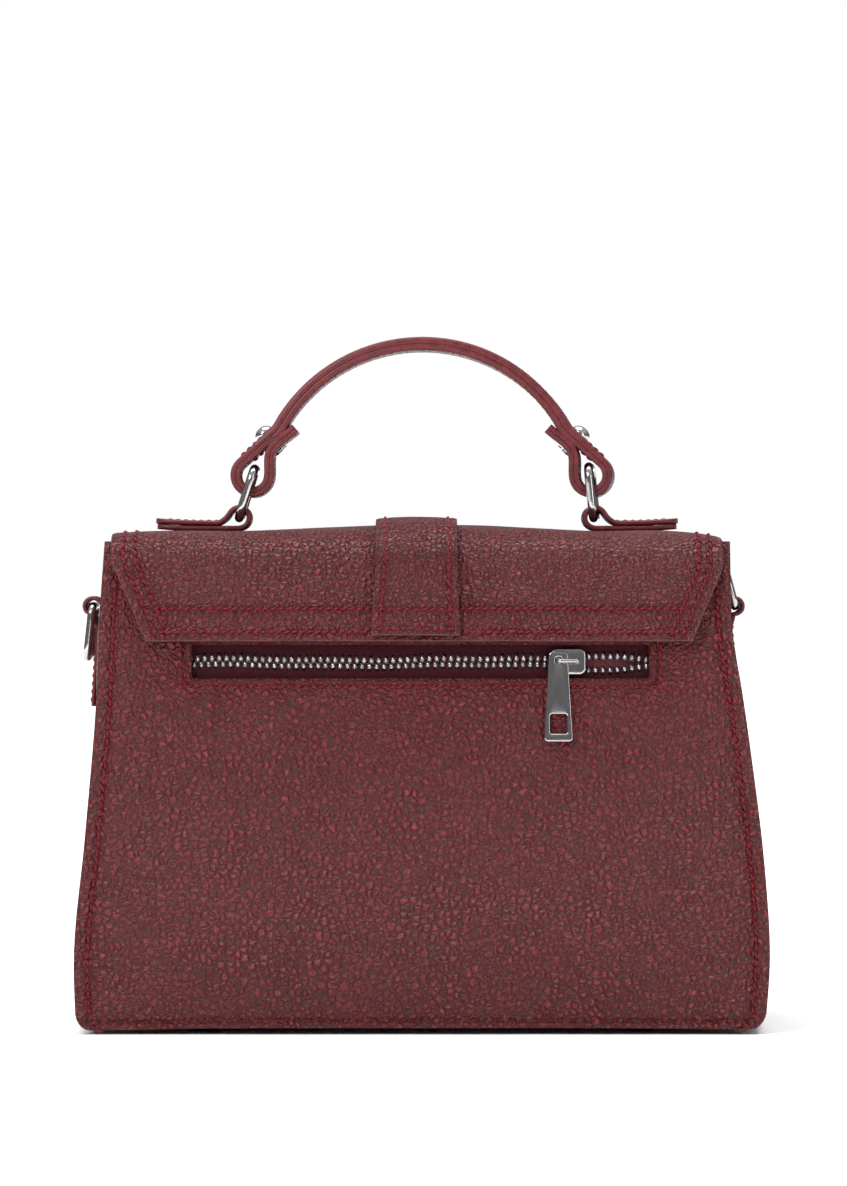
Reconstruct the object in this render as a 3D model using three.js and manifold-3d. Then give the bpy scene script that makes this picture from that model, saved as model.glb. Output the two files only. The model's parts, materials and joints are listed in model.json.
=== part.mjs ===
// A leather satchel: a leaning box body, a flap that folds over its top, and an arched top handle.
// Millimetres, +Z up. The origin is under the middle of the base, on the plane that the feet
// stand on. -Y is the back of the bag, with the zip pocket, and +Y is its front.
import * as THREE from 'three';
import * as BufferGeometryUtils from 'three/addons/utils/BufferGeometryUtils.js';
import Module from 'manifold-3d';

const wasm = await Module();
wasm.setup();

const DEG = Math.PI / 180;

// ---- driving dimensions -------------------------------------------------------------------
const baseWidth = 270;          // across the bottom edges of the back and front panels
const topWidth = 247;           // across their top edges
const baseDepth = 124;
const topDepth = 84;
const bodyTop = 189.2;          // top edge of the panels
const panelBottom = 2.5;        // lowest edge of the panels, above the floor
const leather = 2;              // panels and gussets
const gap = 0.3;                // between pieces that touch
const cornerRadius = 6;         // lower corners of the two panels

const gussetInset = 1;          // gusset face inside the panel edges
const gussetFlat = 18;          // half width of the flat middle of a gusset
const leftFold = 0;             // how far a gusset's middle folds in at the top
const rightFold = 8;

const footHeight = 2.7;
const footRadius = 6;
const footInsetX = 51;          // from the base's edges to a foot's middle
const footInsetY = 18;
const boardThickness = 2;
const liningThickness = 0.8;
const liningEase = 1.2;         // between the lining and the leather walls

const windowLeft = -89.4;       // zip window in the back panel
const windowRight = 87.8;
const windowHeight = 13.6;
const windowDrop = 46.5;        // from the body's top down to its middle line
const tapeThickness = 0.6;
const tapeWidth = 9.5;
const chainHalfGap = 0.8;       // from the middle line to the tips of the teeth
const toothPitch = 2.8;
const toothWidth = 1.3;
const toothLength = 2.2;
const beadWidth = 1;
const chainThickness = 2.2;
const stopLength = 3;
const sliderX = 56.3;
const sliderLength = 13.7;
const sliderHeight = 10.4;
const sliderPlate = 1.6;
const sliderWeb = 1;            // the post between the two rows of teeth
const bridgeWidth = 2.2;
const bridgePost = 1.6;
const bridgeSpan = 7.7;         // between the middles of the two posts
const bridgeBar = 1.4;
const pullThickness = 1.5;
const pullLength = 35;
const pullTopWidth = 7.4;
const pullEndWidth = 11;
const pullEye = 3.4;
const pullHoleWidth = 6.6;
const pullHoleHeight = 7.6;
const pullHoleRise = 3.1;       // from the pull's lower end to its square hole
const pocketDepth = 96;         // pocket bag, below the window
const pocketSheet = 0.6;

const flapLeather = 1.8;
const flapLining = 1.2;
const flapEase = 1;             // above the panel edges
const flapSideInset = 5;        // flap edge inside the panels' top corners
const flapHemSlant = 13.5;      // how far each side slants in, down to the hem
const flapBackDrop = 38.2;      // from the body's top down to a hem
const flapBackStraight = 8.2;   // and down to the corner where the sides slant in
const flapFrontDrop = 83.2;
const flapFrontStraight = 51.2;
const strapWidth = 34;
const strapX = -2.5;
const strapThickness = 2.2;
const strapCorner = 4;          // the strap's bend over a flap corner, left open
const strapBackPast = 0.6;      // how far the strap's ends hang past the hems
const strapFrontPast = 6;
const magnetRadius = 9;
const magnetThickness = 1.6;
const magnetRise = 12;          // from the front hem up to the magnets

const strapLeather = 2.6;       // each layer of the handle
const handleWidth = 20;
const handleRadius = 65.9;      // middle of the outer layer, over the arch
const handleLift = 9.3;         // from the flap's top up to the arch's centre
const archEnd = 29.2 * DEG;     // angle above level where the arch ends
const loopX = 66.9;             // middle of a folded end's loop
const loopLift = 22;
const loopEase = 4.3;           // round the ring's bar in the handle's loop
const rivetHead = 4;
const rivetHeadHeight = 3.2;
const rivetPost = 1.2;
const rivetClearance = 0.3;
const capThickness = 0.9;

const wire = 3.6;               // handle rings
const ringPitch = 20.2;         // between the middles of a ring's two bars
const ringEase = 1;             // between a strap's edge and the ring's side wires
const ringCorner = 5;
const sideRingCorner = 3.6;
const leftRingX = -72.2;
const rightRingX = 67.9;
const leftRingLean = 17.5 * DEG;
const rightRingLean = -5.6 * DEG;
const chapeLeather = 1.8;
const chapeEase = 1.4;
const chapeTab = 32.7;          // from the ring's bar to the tab's outer end

const sideWire = 3.2;           // side rings
const sideChapeWidth = 20;
const sideChapeLeather = 1.6;
const sideEase = 0.8;
const sideRingDrop = 25.2;      // from the body's top down to a side ring's bar
const sideTabLength = 40;
const leftRingStand = 2.475 * DEG;   // a hanging ring's lean out from its gusset
const rightRingTuck = 9.037 * DEG;   // an upright ring's lean in towards its gusset

// ---- derived sizes ------------------------------------------------------------------------
const wallHeight = bodyTop - panelBottom;
const lean = Math.atan2((baseDepth - topDepth) / 2, wallHeight);
const slopeX = (baseWidth - topWidth) / 2 / wallHeight;
const slopeY = Math.tan(lean);
// Up a leaning wall to height z, on a face that stands out from the wall's inner face.
const along = (z, out = 0) => (z - panelBottom - out * Math.sin(lean)) / Math.cos(lean);
const halfWidthAt = (z) => baseWidth / 2 - (z - panelBottom) * slopeX;
const innerDepthAt = (z) => baseDepth / 2 - leather / Math.cos(lean) - (z - panelBottom) * slopeY;
const flapBase = bodyTop + flapEase;
const flapTop = flapBase + flapLining + gap + flapLeather;
const flapUnder = flapBase - gap;                            // where the hanging parts stop
const backFlapInner = leather + gap;
const backFlapOuter = backFlapInner + flapLining + gap + flapLeather;
const frontFlapInner = leather + gap + magnetThickness + gap + magnetThickness + gap;
const frontFlapOuter = frontFlapInner + flapLining + gap + flapLeather;
const outerYAt = (offset, z) =>
  baseDepth / 2 - (z - panelBottom) * slopeY + (offset - leather) / Math.cos(lean);
const hingeBackY = -outerYAt(backFlapOuter, flapTop);
const hingeFrontY = outerYAt(frontFlapOuter, flapTop);
const chapeLoop = wire / 2 + chapeEase + chapeLeather / 2;
const ringBarZ = flapTop + gap + chapeLeather / 2 + chapeLoop;
const loopRadius = wire / 2 + loopEase + strapLeather / 2;
const loopZ = flapTop + loopLift;
const handleCentreZ = flapTop + handleLift;
const sideLoop = sideWire / 2 + sideEase + sideChapeLeather / 2;
const sideRingZ = bodyTop - sideRingDrop;
const sideTabEnd = sideRingZ - sideTabLength;
const gussetLean = (fold) => Math.atan(slopeX + fold / wallHeight);
const leftSideTurn = Math.PI + gussetLean(leftFold) + leftRingStand;
const rightSideTurn = -gussetLean(rightFold) - rightRingTuck;
const flapTopWidth = topWidth - 2 * flapSideInset;
const flapHemWidth = flapTopWidth - 2 * flapHemSlant;
const flapBackHem = bodyTop - flapBackDrop;
const flapFrontHem = bodyTop - flapFrontDrop;
const footX = baseWidth / 2 - footInsetX;
const footY = baseDepth / 2 - footInsetY;

// ---- materials ----------------------------------------------------------------------------
const paint = (color, roughness, metalness) =>
  new THREE.MeshStandardMaterial({ color, roughness, metalness });
const finish = {
  leather: [0x6e3236, 0.55, 0],
  inner: [0x5a2428, 0.7, 0],
  cloth: [0x3a2a2c, 0.9, 0],
  board: [0x8a7f70, 0.9, 0],
  tape: [0x5c1f28, 0.85, 0],
  metal: [0x8d8a88, 0.18, 1],
  foot: [0x2b2828, 0.4, 0.6],
};

// ---- helpers ------------------------------------------------------------------------------
function piece(parent, name, geometry, kind) {
  const mesh = new THREE.Mesh(geometry, paint(...finish[kind]));
  mesh.name = name;
  parent.add(mesh);
  return mesh;
}

function solid(geometry) {
  const bare = geometry.clone();
  bare.deleteAttribute('normal');
  bare.deleteAttribute('uv');
  const merged = BufferGeometryUtils.mergeVertices(bare, 1e-4);
  return new wasm.Manifold(new wasm.Mesh({
    numProp: 3,
    vertProperties: new Float32Array(merged.attributes.position.array),
    triVerts: new Uint32Array(merged.index.array),
  }));
}

function geometryOf(manifold) {
  const mesh = manifold.getMesh();
  const geometry = new THREE.BufferGeometry();
  geometry.setAttribute('position', new THREE.BufferAttribute(mesh.vertProperties, 3));
  geometry.setIndex(new THREE.BufferAttribute(mesh.triVerts, 1));
  geometry.computeVertexNormals();
  return geometry;
}

const cut = (body, tool) => geometryOf(solid(body).subtract(solid(tool)));
const join = (bodies) => geometryOf(bodies.map(solid).reduce((sum, next) => sum.add(next)));

function box(x0, x1, y0, y1, z0, z1) {
  const geometry = new THREE.BoxGeometry(x1 - x0, y1 - y0, z1 - z0);
  geometry.translate((x0 + x1) / 2, (y0 + y1) / 2, (z0 + z1) / 2);
  return geometry;
}

function plate(shape, z0, z1) {
  const geometry = new THREE.ExtrudeGeometry(shape, {
    depth: z1 - z0, bevelEnabled: false, curveSegments: 6,
  });
  geometry.translate(0, 0, z0);
  return geometry;
}

// A box whose six faces are given separately at its bottom and at its top.
function taperedBox(bottom, top) {
  const geometry = new THREE.BoxGeometry(1, 1, 1);
  const position = geometry.attributes.position;
  for (let i = 0; i < position.count; i += 1) {
    const end = position.getZ(i) < 0 ? bottom : top;
    const x = position.getX(i) < 0 ? end.left : end.right;
    const y = position.getY(i) < 0 ? end.back : end.front;
    position.setXYZ(i, x, y, end.z);
  }
  return geometry;
}

// A strip of leather seen edge on: a path in X and Z, given a thickness, and a width along Y.
function ribbon(path, thickness, width) {
  const near = [];
  const far = [];
  path.forEach((point, i) => {
    const before = path[Math.max(i - 1, 0)];
    const after = path[Math.min(i + 1, path.length - 1)];
    const arrive = point.clone().sub(i > 0 ? before : point).normalize();
    const leave = after.clone().sub(i < path.length - 1 ? point : after).normalize();
    const start = i > 0 ? arrive : leave;
    const finishing = i < path.length - 1 ? leave : arrive;
    const tangent = start.clone().add(finishing).normalize();
    const reach = thickness / 2 / tangent.dot(start);
    const normal = new THREE.Vector2(-tangent.y, tangent.x).multiplyScalar(reach);
    near.push(point.clone().add(normal));
    far.push(point.clone().sub(normal));
  });
  const shape = new THREE.Shape([...near, ...far.reverse()]);
  const geometry = new THREE.ExtrudeGeometry(shape, { depth: width, bevelEnabled: false });
  geometry.rotateX(Math.PI / 2);
  geometry.translate(0, width / 2, 0);
  return geometry;
}

const at = (x, z) => new THREE.Vector2(x, z);
const mirrored = (path) => path.map((p) => at(-p.x, p.y));

function arc(x, z, radius, from, to, steps) {
  const curve = new THREE.EllipseCurve(x, z, radius, radius, from, to, to < from);
  return curve.getPoints(steps);
}

// A rounded frame of wire in X and Y, eight-sided in section, with its first bar on the X axis.
function wireFrame(width, pitch, thickness, corner) {
  const outline = (grow) => {
    const shape = new THREE.Path();
    const w = width / 2 + grow;
    const low = -grow;
    const high = pitch + grow;
    const r = corner + grow;
    shape.moveTo(-w + r, low);
    shape.lineTo(w - r, low);
    shape.absarc(w - r, low + r, r, -Math.PI / 2, 0, false);
    shape.absarc(w - r, high - r, r, 0, Math.PI / 2, false);
    shape.absarc(-w + r, high - r, r, Math.PI / 2, Math.PI, false);
    shape.absarc(-w + r, low + r, r, Math.PI, 1.5 * Math.PI, false);
    return shape.getPoints(5);
  };
  const chamfer = thickness * 0.29;
  const half = thickness / 2 - chamfer;
  const shape = new THREE.Shape(outline(half));
  shape.holes.push(new THREE.Path(outline(-half)));
  const geometry = new THREE.ExtrudeGeometry(shape, {
    depth: 2 * half,
    bevelEnabled: true,
    bevelThickness: chamfer,
    bevelSize: chamfer,
    bevelSegments: 1,
  });
  geometry.translate(0, 0, -half);
  return geometry;
}

// ---- body ---------------------------------------------------------------------------------
const satchel = new THREE.Group();

// Each wall group has X across, Y up the leaning wall and Z outwards, from the inner face.
function wallGroup(turned) {
  const side = new THREE.Group();
  side.rotation.z = turned ? Math.PI : 0;
  const wall = new THREE.Group();
  wall.rotation.x = Math.PI / 2 - lean;
  wall.position.set(0, -baseDepth / 2 + leather * Math.cos(lean), panelBottom);
  side.add(wall);
  satchel.add(side);
  return wall;
}
const backWall = wallGroup(false);
const frontWall = wallGroup(true);

function panelShape() {
  const w = baseWidth / 2;
  const top = topWidth / 2;
  const height = along(bodyTop);
  const shape = new THREE.Shape();
  shape.moveTo(-w + cornerRadius, 0);
  shape.lineTo(w - cornerRadius, 0);
  shape.quadraticCurveTo(w, 0, w - slopeX * cornerRadius, cornerRadius);
  shape.lineTo(top, height);
  shape.lineTo(-top, height);
  shape.lineTo(-w + slopeX * cornerRadius, cornerRadius);
  shape.quadraticCurveTo(-w, 0, -w + cornerRadius, 0);
  return shape;
}

const windowMiddle = along(bodyTop - windowDrop);
const windowLow = windowMiddle - windowHeight / 2;
const windowHigh = windowMiddle + windowHeight / 2;
const backShape = panelShape();
backShape.holes.push(new THREE.Path([
  at(windowLeft, windowLow), at(windowLeft, windowHigh),
  at(windowRight, windowHigh), at(windowRight, windowLow),
]));
piece(backWall, 'back_panel', plate(backShape, 0, leather), 'leather');
piece(frontWall, 'front_panel', plate(panelShape(), 0, leather), 'leather');

// A gusset is a sheet between the two panels. Its flat middle leans in further than its edges.
const gussetBottom = panelBottom + 0.8;
function gussetFace(fold, z) {
  const rise = (z - panelBottom) / wallHeight;
  return halfWidthAt(z) - gussetInset - fold * rise;
}
function gusset(sign, fold) {
  const geometry = new THREE.BoxGeometry(1, 3, 1, 1, 3, 1);
  const position = geometry.attributes.position;
  for (let i = 0; i < position.count; i += 1) {
    const outer = position.getX(i) * sign > 0;
    const across = position.getY(i);
    const z = position.getZ(i) < 0 ? gussetBottom : bodyTop;
    const middle = Math.abs(across) < 1;
    const depth = innerDepthAt(z) - gap;
    const face = gussetFace(middle ? fold : 0, z) - (outer ? 0 : leather);
    position.setXYZ(i, sign * face, Math.sign(across) * (middle ? gussetFlat : depth), z);
  }
  return geometry;
}
piece(satchel, 'left_gusset', gusset(-1, leftFold), 'leather');
piece(satchel, 'right_gusset', gusset(1, rightFold), 'leather');

const floorTop = panelBottom + 0.5 + leather + 0.2;
const bottomX = gussetFace(0, floorTop) - leather - gap;
const bottomY = innerDepthAt(floorTop) - gap;
piece(satchel, 'bottom_panel',
  box(-bottomX, bottomX, -bottomY, bottomY, footHeight + gap, floorTop), 'leather');
const boardTop = floorTop + gap + boardThickness;
piece(satchel, 'base_board',
  box(-bottomX + 2, bottomX - 2, -bottomY + 2, bottomY - 2, floorTop + gap, boardTop), 'board');

// Behind the window, measured outwards from the back panel's inner face.
const chainOuter = -gap;
const chainInner = chainOuter - chainThickness;
const chainMiddle = (chainOuter + chainInner) / 2;
const tapeOuter = chainMiddle + tapeThickness / 2;
const tapeInner = chainMiddle - tapeThickness / 2;
const sliderBack = chainInner - gap - sliderPlate;
const pocketFront = tapeInner - gap;
const pocketInner = sliderBack - gap - pocketSheet;

const liningBottom = boardTop + gap;
const liningTop = bodyTop - 2;
const liningEnd = (z, wall) => ({
  z,
  left: -(gussetFace(leftFold, z) - leather - liningEase) + wall,
  right: gussetFace(rightFold, z) - leather - liningEase - wall,
  back: -(innerDepthAt(z) + (pocketInner - gap) / Math.cos(lean)) + wall,
  front: innerDepthAt(z) - liningEase - wall,
});
piece(satchel, 'lining', cut(
  taperedBox(liningEnd(liningBottom, 0), liningEnd(liningTop, 0)),
  taperedBox(liningEnd(liningBottom + liningThickness, liningThickness),
    liningEnd(liningTop + 1, liningThickness)),
), 'cloth');

for (const [name, x, y] of [
  ['left_back_foot', -footX, -footY], ['right_back_foot', footX, -footY],
  ['left_front_foot', -footX, footY], ['right_front_foot', footX, footY],
]) {
  const profile = [
    at(0, 0), at(footRadius - 1, 0), at(footRadius, 1),
    at(footRadius, footHeight - 0.5), at(footRadius - 0.5, footHeight), at(0, footHeight),
  ];
  const geometry = new THREE.LatheGeometry(profile, 20);
  geometry.rotateX(Math.PI / 2);
  const foot = piece(satchel, name, geometry, 'foot');
  foot.position.set(x, y, 0);
}

// ---- zip pocket ---------------------------------------------------------------------------
const zipLeft = windowLeft - 6;
const zipRight = windowRight + 6;
function tooth(sign) {
  const tip = windowMiddle + sign * chainHalfGap;
  const root = tip + sign * toothLength;
  const back = root + sign * beadWidth;
  const shift = sign > 0 ? 0 : toothPitch / 2;
  const count = Math.floor((zipRight - zipLeft - toothPitch) / toothPitch);
  const points = [at(zipLeft, root)];
  for (let i = 0; i < count; i += 1) {
    const x = zipLeft + 0.4 + shift + i * toothPitch;
    points.push(at(x, root), at(x, tip), at(x + toothWidth, tip), at(x + toothWidth, root));
  }
  points.push(at(zipRight, root), at(zipRight, back), at(zipLeft, back));
  return plate(new THREE.Shape(points), chainInner, chainOuter);
}
function tape(sign) {
  const near = windowMiddle + sign * (chainHalfGap + toothLength + beadWidth + gap);
  const far = near + sign * tapeWidth;
  return box(zipLeft, zipRight, Math.min(near, far), Math.max(near, far), tapeInner, tapeOuter);
}
piece(backWall, 'zip_teeth_upper', tooth(1), 'metal');
piece(backWall, 'zip_teeth_lower', tooth(-1), 'metal');
piece(backWall, 'zip_tape_upper', tape(1), 'tape');
piece(backWall, 'zip_tape_lower', tape(-1), 'tape');
const stopHalf = chainHalfGap + toothLength + beadWidth;
for (const [name, x0] of [
  ['zip_left_stop', zipLeft - gap - stopLength], ['zip_right_stop', zipRight + gap],
]) {
  piece(backWall, name, box(x0, x0 + stopLength, windowMiddle - stopHalf, windowMiddle + stopHalf,
    chainInner, -gap), 'metal');
}

// The pocket bag is one sheet folded up on itself: its back leaf reaches above the window.
const pocketLow = windowLow - pocketDepth;
const pocketLip = windowMiddle - sliderHeight / 2 - 1.5;
const pocketRim = windowHigh + 4;
const pocketWidth = [windowLeft - 4, windowRight + 4];
const fold = join([
  box(...pocketWidth, pocketLow, pocketLip, pocketFront - pocketSheet, pocketFront),
  box(...pocketWidth, pocketLow, pocketLow + 1, pocketInner, pocketFront),
  box(...pocketWidth, pocketLow, pocketRim, pocketInner, pocketInner + pocketSheet),
]);
piece(backWall, 'pocket_bag', fold, 'cloth');

// The slider holds both rows between two plates, and a bridge stands on the outer one.
const sliderFace = leather + gap;
const pullBase = sliderFace + gap;
const bridgeTop = pullBase + pullThickness + gap + bridgeBar;
const postX = -bridgeSpan / 2;
function sliderPlateShape() {
  const w = sliderLength / 2;
  const h = sliderHeight / 2;
  const nose = h * 0.62;
  return new THREE.Shape([
    at(-w, -nose), at(-w + 3, -h), at(w - 2, -h), at(w, -h + 2),
    at(w, h - 2), at(w - 2, h), at(-w + 3, h), at(-w, nose),
  ]);
}
const half = bridgeSpan / 2 + bridgePost / 2;
const slider = join([
  plate(sliderPlateShape(), chainOuter + gap, sliderFace),
  plate(sliderPlateShape(), sliderBack, chainInner - gap),
  box(-3, 3, -sliderWeb / 2, sliderWeb / 2, sliderBack + 0.5, sliderFace - 0.5),
  box(-half, -half + bridgePost, -bridgeWidth / 2, bridgeWidth / 2, sliderFace - 0.5, bridgeTop),
  box(half - bridgePost, half, -bridgeWidth / 2, bridgeWidth / 2, sliderFace - 0.5, bridgeTop),
  box(-half, half, -bridgeWidth / 2, bridgeWidth / 2, bridgeTop - bridgeBar, bridgeTop),
]);
piece(backWall, 'zip_slider', slider, 'metal').position.set(sliderX, windowMiddle, 0);

// The pull hangs by its eye on the bridge's left post, with the eye's rim under the bridge.
function pullShape() {
  const r = pullTopWidth / 2;
  const end = r - pullLength;
  const w = pullEndWidth / 2;
  const shape = new THREE.Shape();
  shape.moveTo(-r, 0);
  shape.lineTo(-w, end + 1);
  shape.lineTo(-w + 1, end);
  shape.lineTo(w - 1, end);
  shape.lineTo(w, end + 1);
  shape.lineTo(r, 0);
  shape.absarc(0, 0, r, 0, Math.PI, false);
  const eye = new THREE.Path();
  eye.absarc(0, 0, pullEye / 2, 0, 2 * Math.PI, true);
  const low = end + pullHoleRise;
  const high = low + pullHoleHeight;
  const side = pullHoleWidth / 2;
  shape.holes.push(eye);
  shape.holes.push(new THREE.Path([at(-side, low), at(-side, high), at(side, high), at(side, low)]));
  return shape;
}
piece(backWall, 'zip_pull', plate(pullShape(), pullBase, pullBase + pullThickness), 'metal')
  .position.set(sliderX + postX, windowMiddle, 0);

// ---- flap ---------------------------------------------------------------------------------
function hangingShape(hem, corner, inset, out) {
  const top = along(flapUnder, out);
  const wide = flapTopWidth / 2 - inset;
  const narrow = flapHemWidth / 2 - inset;
  return new THREE.Shape([
    at(-wide, top), at(-wide, along(corner, out)), at(-narrow, along(hem, out) + inset),
    at(narrow, along(hem, out) + inset), at(wide, along(corner, out)), at(wide, top),
  ]);
}
const liningInset = 0.4;
function hangingFlap(wall, name, hem, corner, inner) {
  const middle = inner + flapLining;
  const outer = middle + gap + flapLeather;
  piece(wall, `${name}_lining`,
    plate(hangingShape(hem, corner, liningInset, middle), inner, middle), 'inner');
  piece(wall, name,
    plate(hangingShape(hem, corner, 0, outer), middle + gap, outer), 'leather');
}
hangingFlap(backWall, 'flap_back', flapBackHem, bodyTop - flapBackStraight, backFlapInner);
hangingFlap(frontWall, 'flap_front', flapFrontHem, bodyTop - flapFrontStraight, frontFlapInner);

const cornerGap = 0.2;
const flapHalf = flapTopWidth / 2;
const topY = [hingeBackY + cornerGap, hingeFrontY - cornerGap];
piece(satchel, 'flap_top_lining', box(-flapHalf + liningInset, flapHalf - liningInset, ...topY,
  flapBase, flapBase + flapLining), 'inner');
piece(satchel, 'flap_top',
  box(-flapHalf, flapHalf, ...topY, flapTop - flapLeather, flapTop), 'leather');

const strapHalf = strapWidth / 2;
function hangingStrap(wall, name, x, end, inner) {
  const outer = inner + gap + strapThickness;
  const ends = [along(end, outer), along(flapTop - strapCorner, outer)];
  piece(wall, name, box(x - strapHalf, x + strapHalf, ...ends, inner + gap, outer), 'leather');
}
hangingStrap(backWall, 'strap_back', strapX, flapBackHem - strapBackPast, backFlapOuter);
hangingStrap(frontWall, 'strap_front', -strapX, flapFrontHem - strapFrontPast, frontFlapOuter);
piece(satchel, 'strap_top', box(strapX - strapHalf, strapX + strapHalf,
  hingeBackY + strapCorner, hingeFrontY - strapCorner,
  flapTop + gap, flapTop + gap + strapThickness), 'leather');

function magnet(name, low) {
  const disc = new THREE.CylinderGeometry(magnetRadius, magnetRadius, magnetThickness, 24);
  disc.rotateX(Math.PI / 2);
  piece(frontWall, name, disc, 'metal')
    .position.set(-strapX, along(flapFrontHem + magnetRise), low + magnetThickness / 2);
}
magnet('front_magnet', leather + gap);
magnet('flap_magnet', leather + gap + magnetThickness + gap);

// ---- handle -------------------------------------------------------------------------------
// The outer layer runs down each side of the arch, out and round the ring, and back up inside.
const layerPitch = strapLeather + gap;
const archFoot = at(-handleRadius * Math.cos(archEnd), handleCentreZ + handleRadius * Math.sin(archEnd));
const inward = at(Math.cos(archEnd), -Math.sin(archEnd));
const foldTip = archFoot.clone().addScaledVector(inward, layerPitch);
const loopStart = arc(-loopX, loopZ, loopRadius, 125 * DEG, 360 * DEG, 16);
const throat = archFoot.clone().lerp(loopStart[0], 0.42).addScaledVector(inward, -0.6);
const downLeg = new THREE.SplineCurve([archFoot, throat, loopStart[0]]).getPoints(6);
const foldEase = 0.3;           // the fold stands this much freer at the throat than at its tip
const foldThroat = throat.clone().addScaledVector(inward, layerPitch + foldEase);
const loopEnd = loopStart[loopStart.length - 1];
const upLeg = new THREE.SplineCurve([loopEnd, foldThroat, foldTip]).getPoints(6);
const leftEnd = [...downLeg, ...loopStart.slice(1), ...upLeg.slice(1)];
const arch = arc(0, handleCentreZ, handleRadius, archEnd, Math.PI - archEnd, 26);
const handlePath = [
  ...mirrored(leftEnd).reverse(), ...arch.slice(1, -1), ...leftEnd,
];

const rivetAt = archFoot.clone().lerp(throat, 0.4);
const rivetDirection = archFoot.clone().sub(throat).normalize();
const rivetAngle = Math.atan2(rivetDirection.x, rivetDirection.y);
const outerFace = strapLeather / 2 + gap;
const innerFace = -strapLeather / 2 - layerPitch - foldEase - 2 * gap;
function placeRivet(geometry, sign) {
  geometry.rotateZ(Math.PI / 2);
  geometry.rotateY(rivetAngle);
  geometry.translate(rivetAt.x, 0, rivetAt.y);
  if (sign > 0) {
    geometry.rotateZ(Math.PI);
  }
  return geometry;
}
function rivetProfile() {
  const tip = innerFace - capThickness * 0.4;
  const dome = new THREE.EllipseCurve(0, outerFace + 1, rivetHead, rivetHeadHeight - 1,
    0, Math.PI / 2, false).getPoints(5);
  return [at(0, tip), at(rivetPost, tip), at(rivetPost, outerFace), at(rivetHead, outerFace), ...dome];
}
function capProfile() {
  const hole = rivetPost + rivetClearance;
  const low = innerFace - capThickness;
  return [
    at(hole, innerFace), at(hole, low), at(rivetHead - 0.8, low),
    at(rivetHead - 0.4, innerFace), at(hole, innerFace),
  ];
}
const bore = () => new THREE.CylinderGeometry(
  rivetPost + rivetClearance, rivetPost + rivetClearance, 24, 16);
let handle = ribbon(handlePath, strapLeather, handleWidth);
for (const sign of [-1, 1]) {
  handle = cut(handle, placeRivet(bore(), sign));
}
piece(satchel, 'handle', handle, 'leather');
const liningArc = 1.3 * DEG;
piece(satchel, 'handle_lining', ribbon(
  arc(0, handleCentreZ, handleRadius - layerPitch, archEnd + liningArc,
    Math.PI - archEnd - liningArc, 26),
  strapLeather, handleWidth), 'inner');
for (const [side, sign] of [['left', -1], ['right', 1]]) {
  piece(satchel, `${side}_handle_rivet`,
    placeRivet(new THREE.LatheGeometry(rivetProfile(), 16), sign), 'metal');
  piece(satchel, `${side}_handle_rivet_cap`,
    placeRivet(new THREE.LatheGeometry(capProfile(), 16), sign), 'metal');
}

// ---- rings and their leather loops --------------------------------------------------------
function ring(name, x, z, turn, strap, thickness, corner) {
  const geometry = wireFrame(strap + 2 * ringEase + thickness, ringPitch, thickness, corner);
  geometry.rotateX(Math.PI / 2);
  geometry.rotateZ(Math.PI / 2);
  geometry.rotateY(turn);
  piece(satchel, name, geometry, 'metal').position.set(x, 0, z);
}
ring('left_handle_ring', leftRingX, ringBarZ, leftRingLean, handleWidth, wire, ringCorner);
ring('right_handle_ring', rightRingX, ringBarZ, rightRingLean, handleWidth, wire, ringCorner);

// A handle chape is one strip: in along the flap, round the ring's bar, and back under itself.
function handleChape(name, x, sign) {
  const under = flapTop + gap + chapeLeather / 2;
  const over = under + chapeLeather + gap;
  const outerEnd = -chapeTab;
  const turn = arc(0, ringBarZ, chapeLoop, 130 * DEG, -90 * DEG, 14);
  const path = [
    at(outerEnd, over), at(-7.6, over), at(-5.2, over + 1.6), ...turn, at(outerEnd, under),
  ];
  const placed = (sign < 0 ? path : mirrored(path)).map((p) => at(p.x + x, p.y));
  piece(satchel, name, ribbon(placed, chapeLeather, handleWidth), 'leather');
}
handleChape('left_handle_chape', leftRingX, -1);
handleChape('right_handle_chape', rightRingX, 1);

// A side chape lies on the gusset's flat middle, with its loop standing outside its top.
const sideBack = gap + sideChapeLeather / 2;
const sideFront = sideBack + sideChapeLeather + gap;
const sideBar = sideFront + sideChapeLeather / 2 + gap + sideWire / 2;
function sideChape(name, sign, fold) {
  const face = (z) => gussetFace(fold, z);
  const bar = face(sideRingZ) + sideBar;
  const turn = arc(bar, sideRingZ, sideLoop, 140 * DEG, -105 * DEG, 14);
  const path = [
    at(face(sideTabEnd) + sideBack, sideTabEnd),
    at(face(sideRingZ - 2) + sideBack, sideRingZ - 2),
    at(face(sideRingZ) + sideBack + 0.5, sideRingZ + 0.5),
    ...turn,
    at(face(sideRingZ - 8) + sideFront, sideRingZ - 8),
    at(face(sideTabEnd) + sideFront, sideTabEnd),
  ];
  const placed = sign > 0 ? path : mirrored(path);
  piece(satchel, name, ribbon(placed, sideChapeLeather, sideChapeWidth), 'leather');
  return sign * bar;
}
const leftBarX = sideChape('left_side_chape', -1, leftFold);
const rightBarX = sideChape('right_side_chape', 1, rightFold);
ring('left_side_ring', leftBarX, sideRingZ, leftSideTurn, sideChapeWidth, sideWire, sideRingCorner);
ring('right_side_ring', rightBarX, sideRingZ, rightSideTurn, sideChapeWidth, sideWire, sideRingCorner);

export default satchel;
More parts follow.
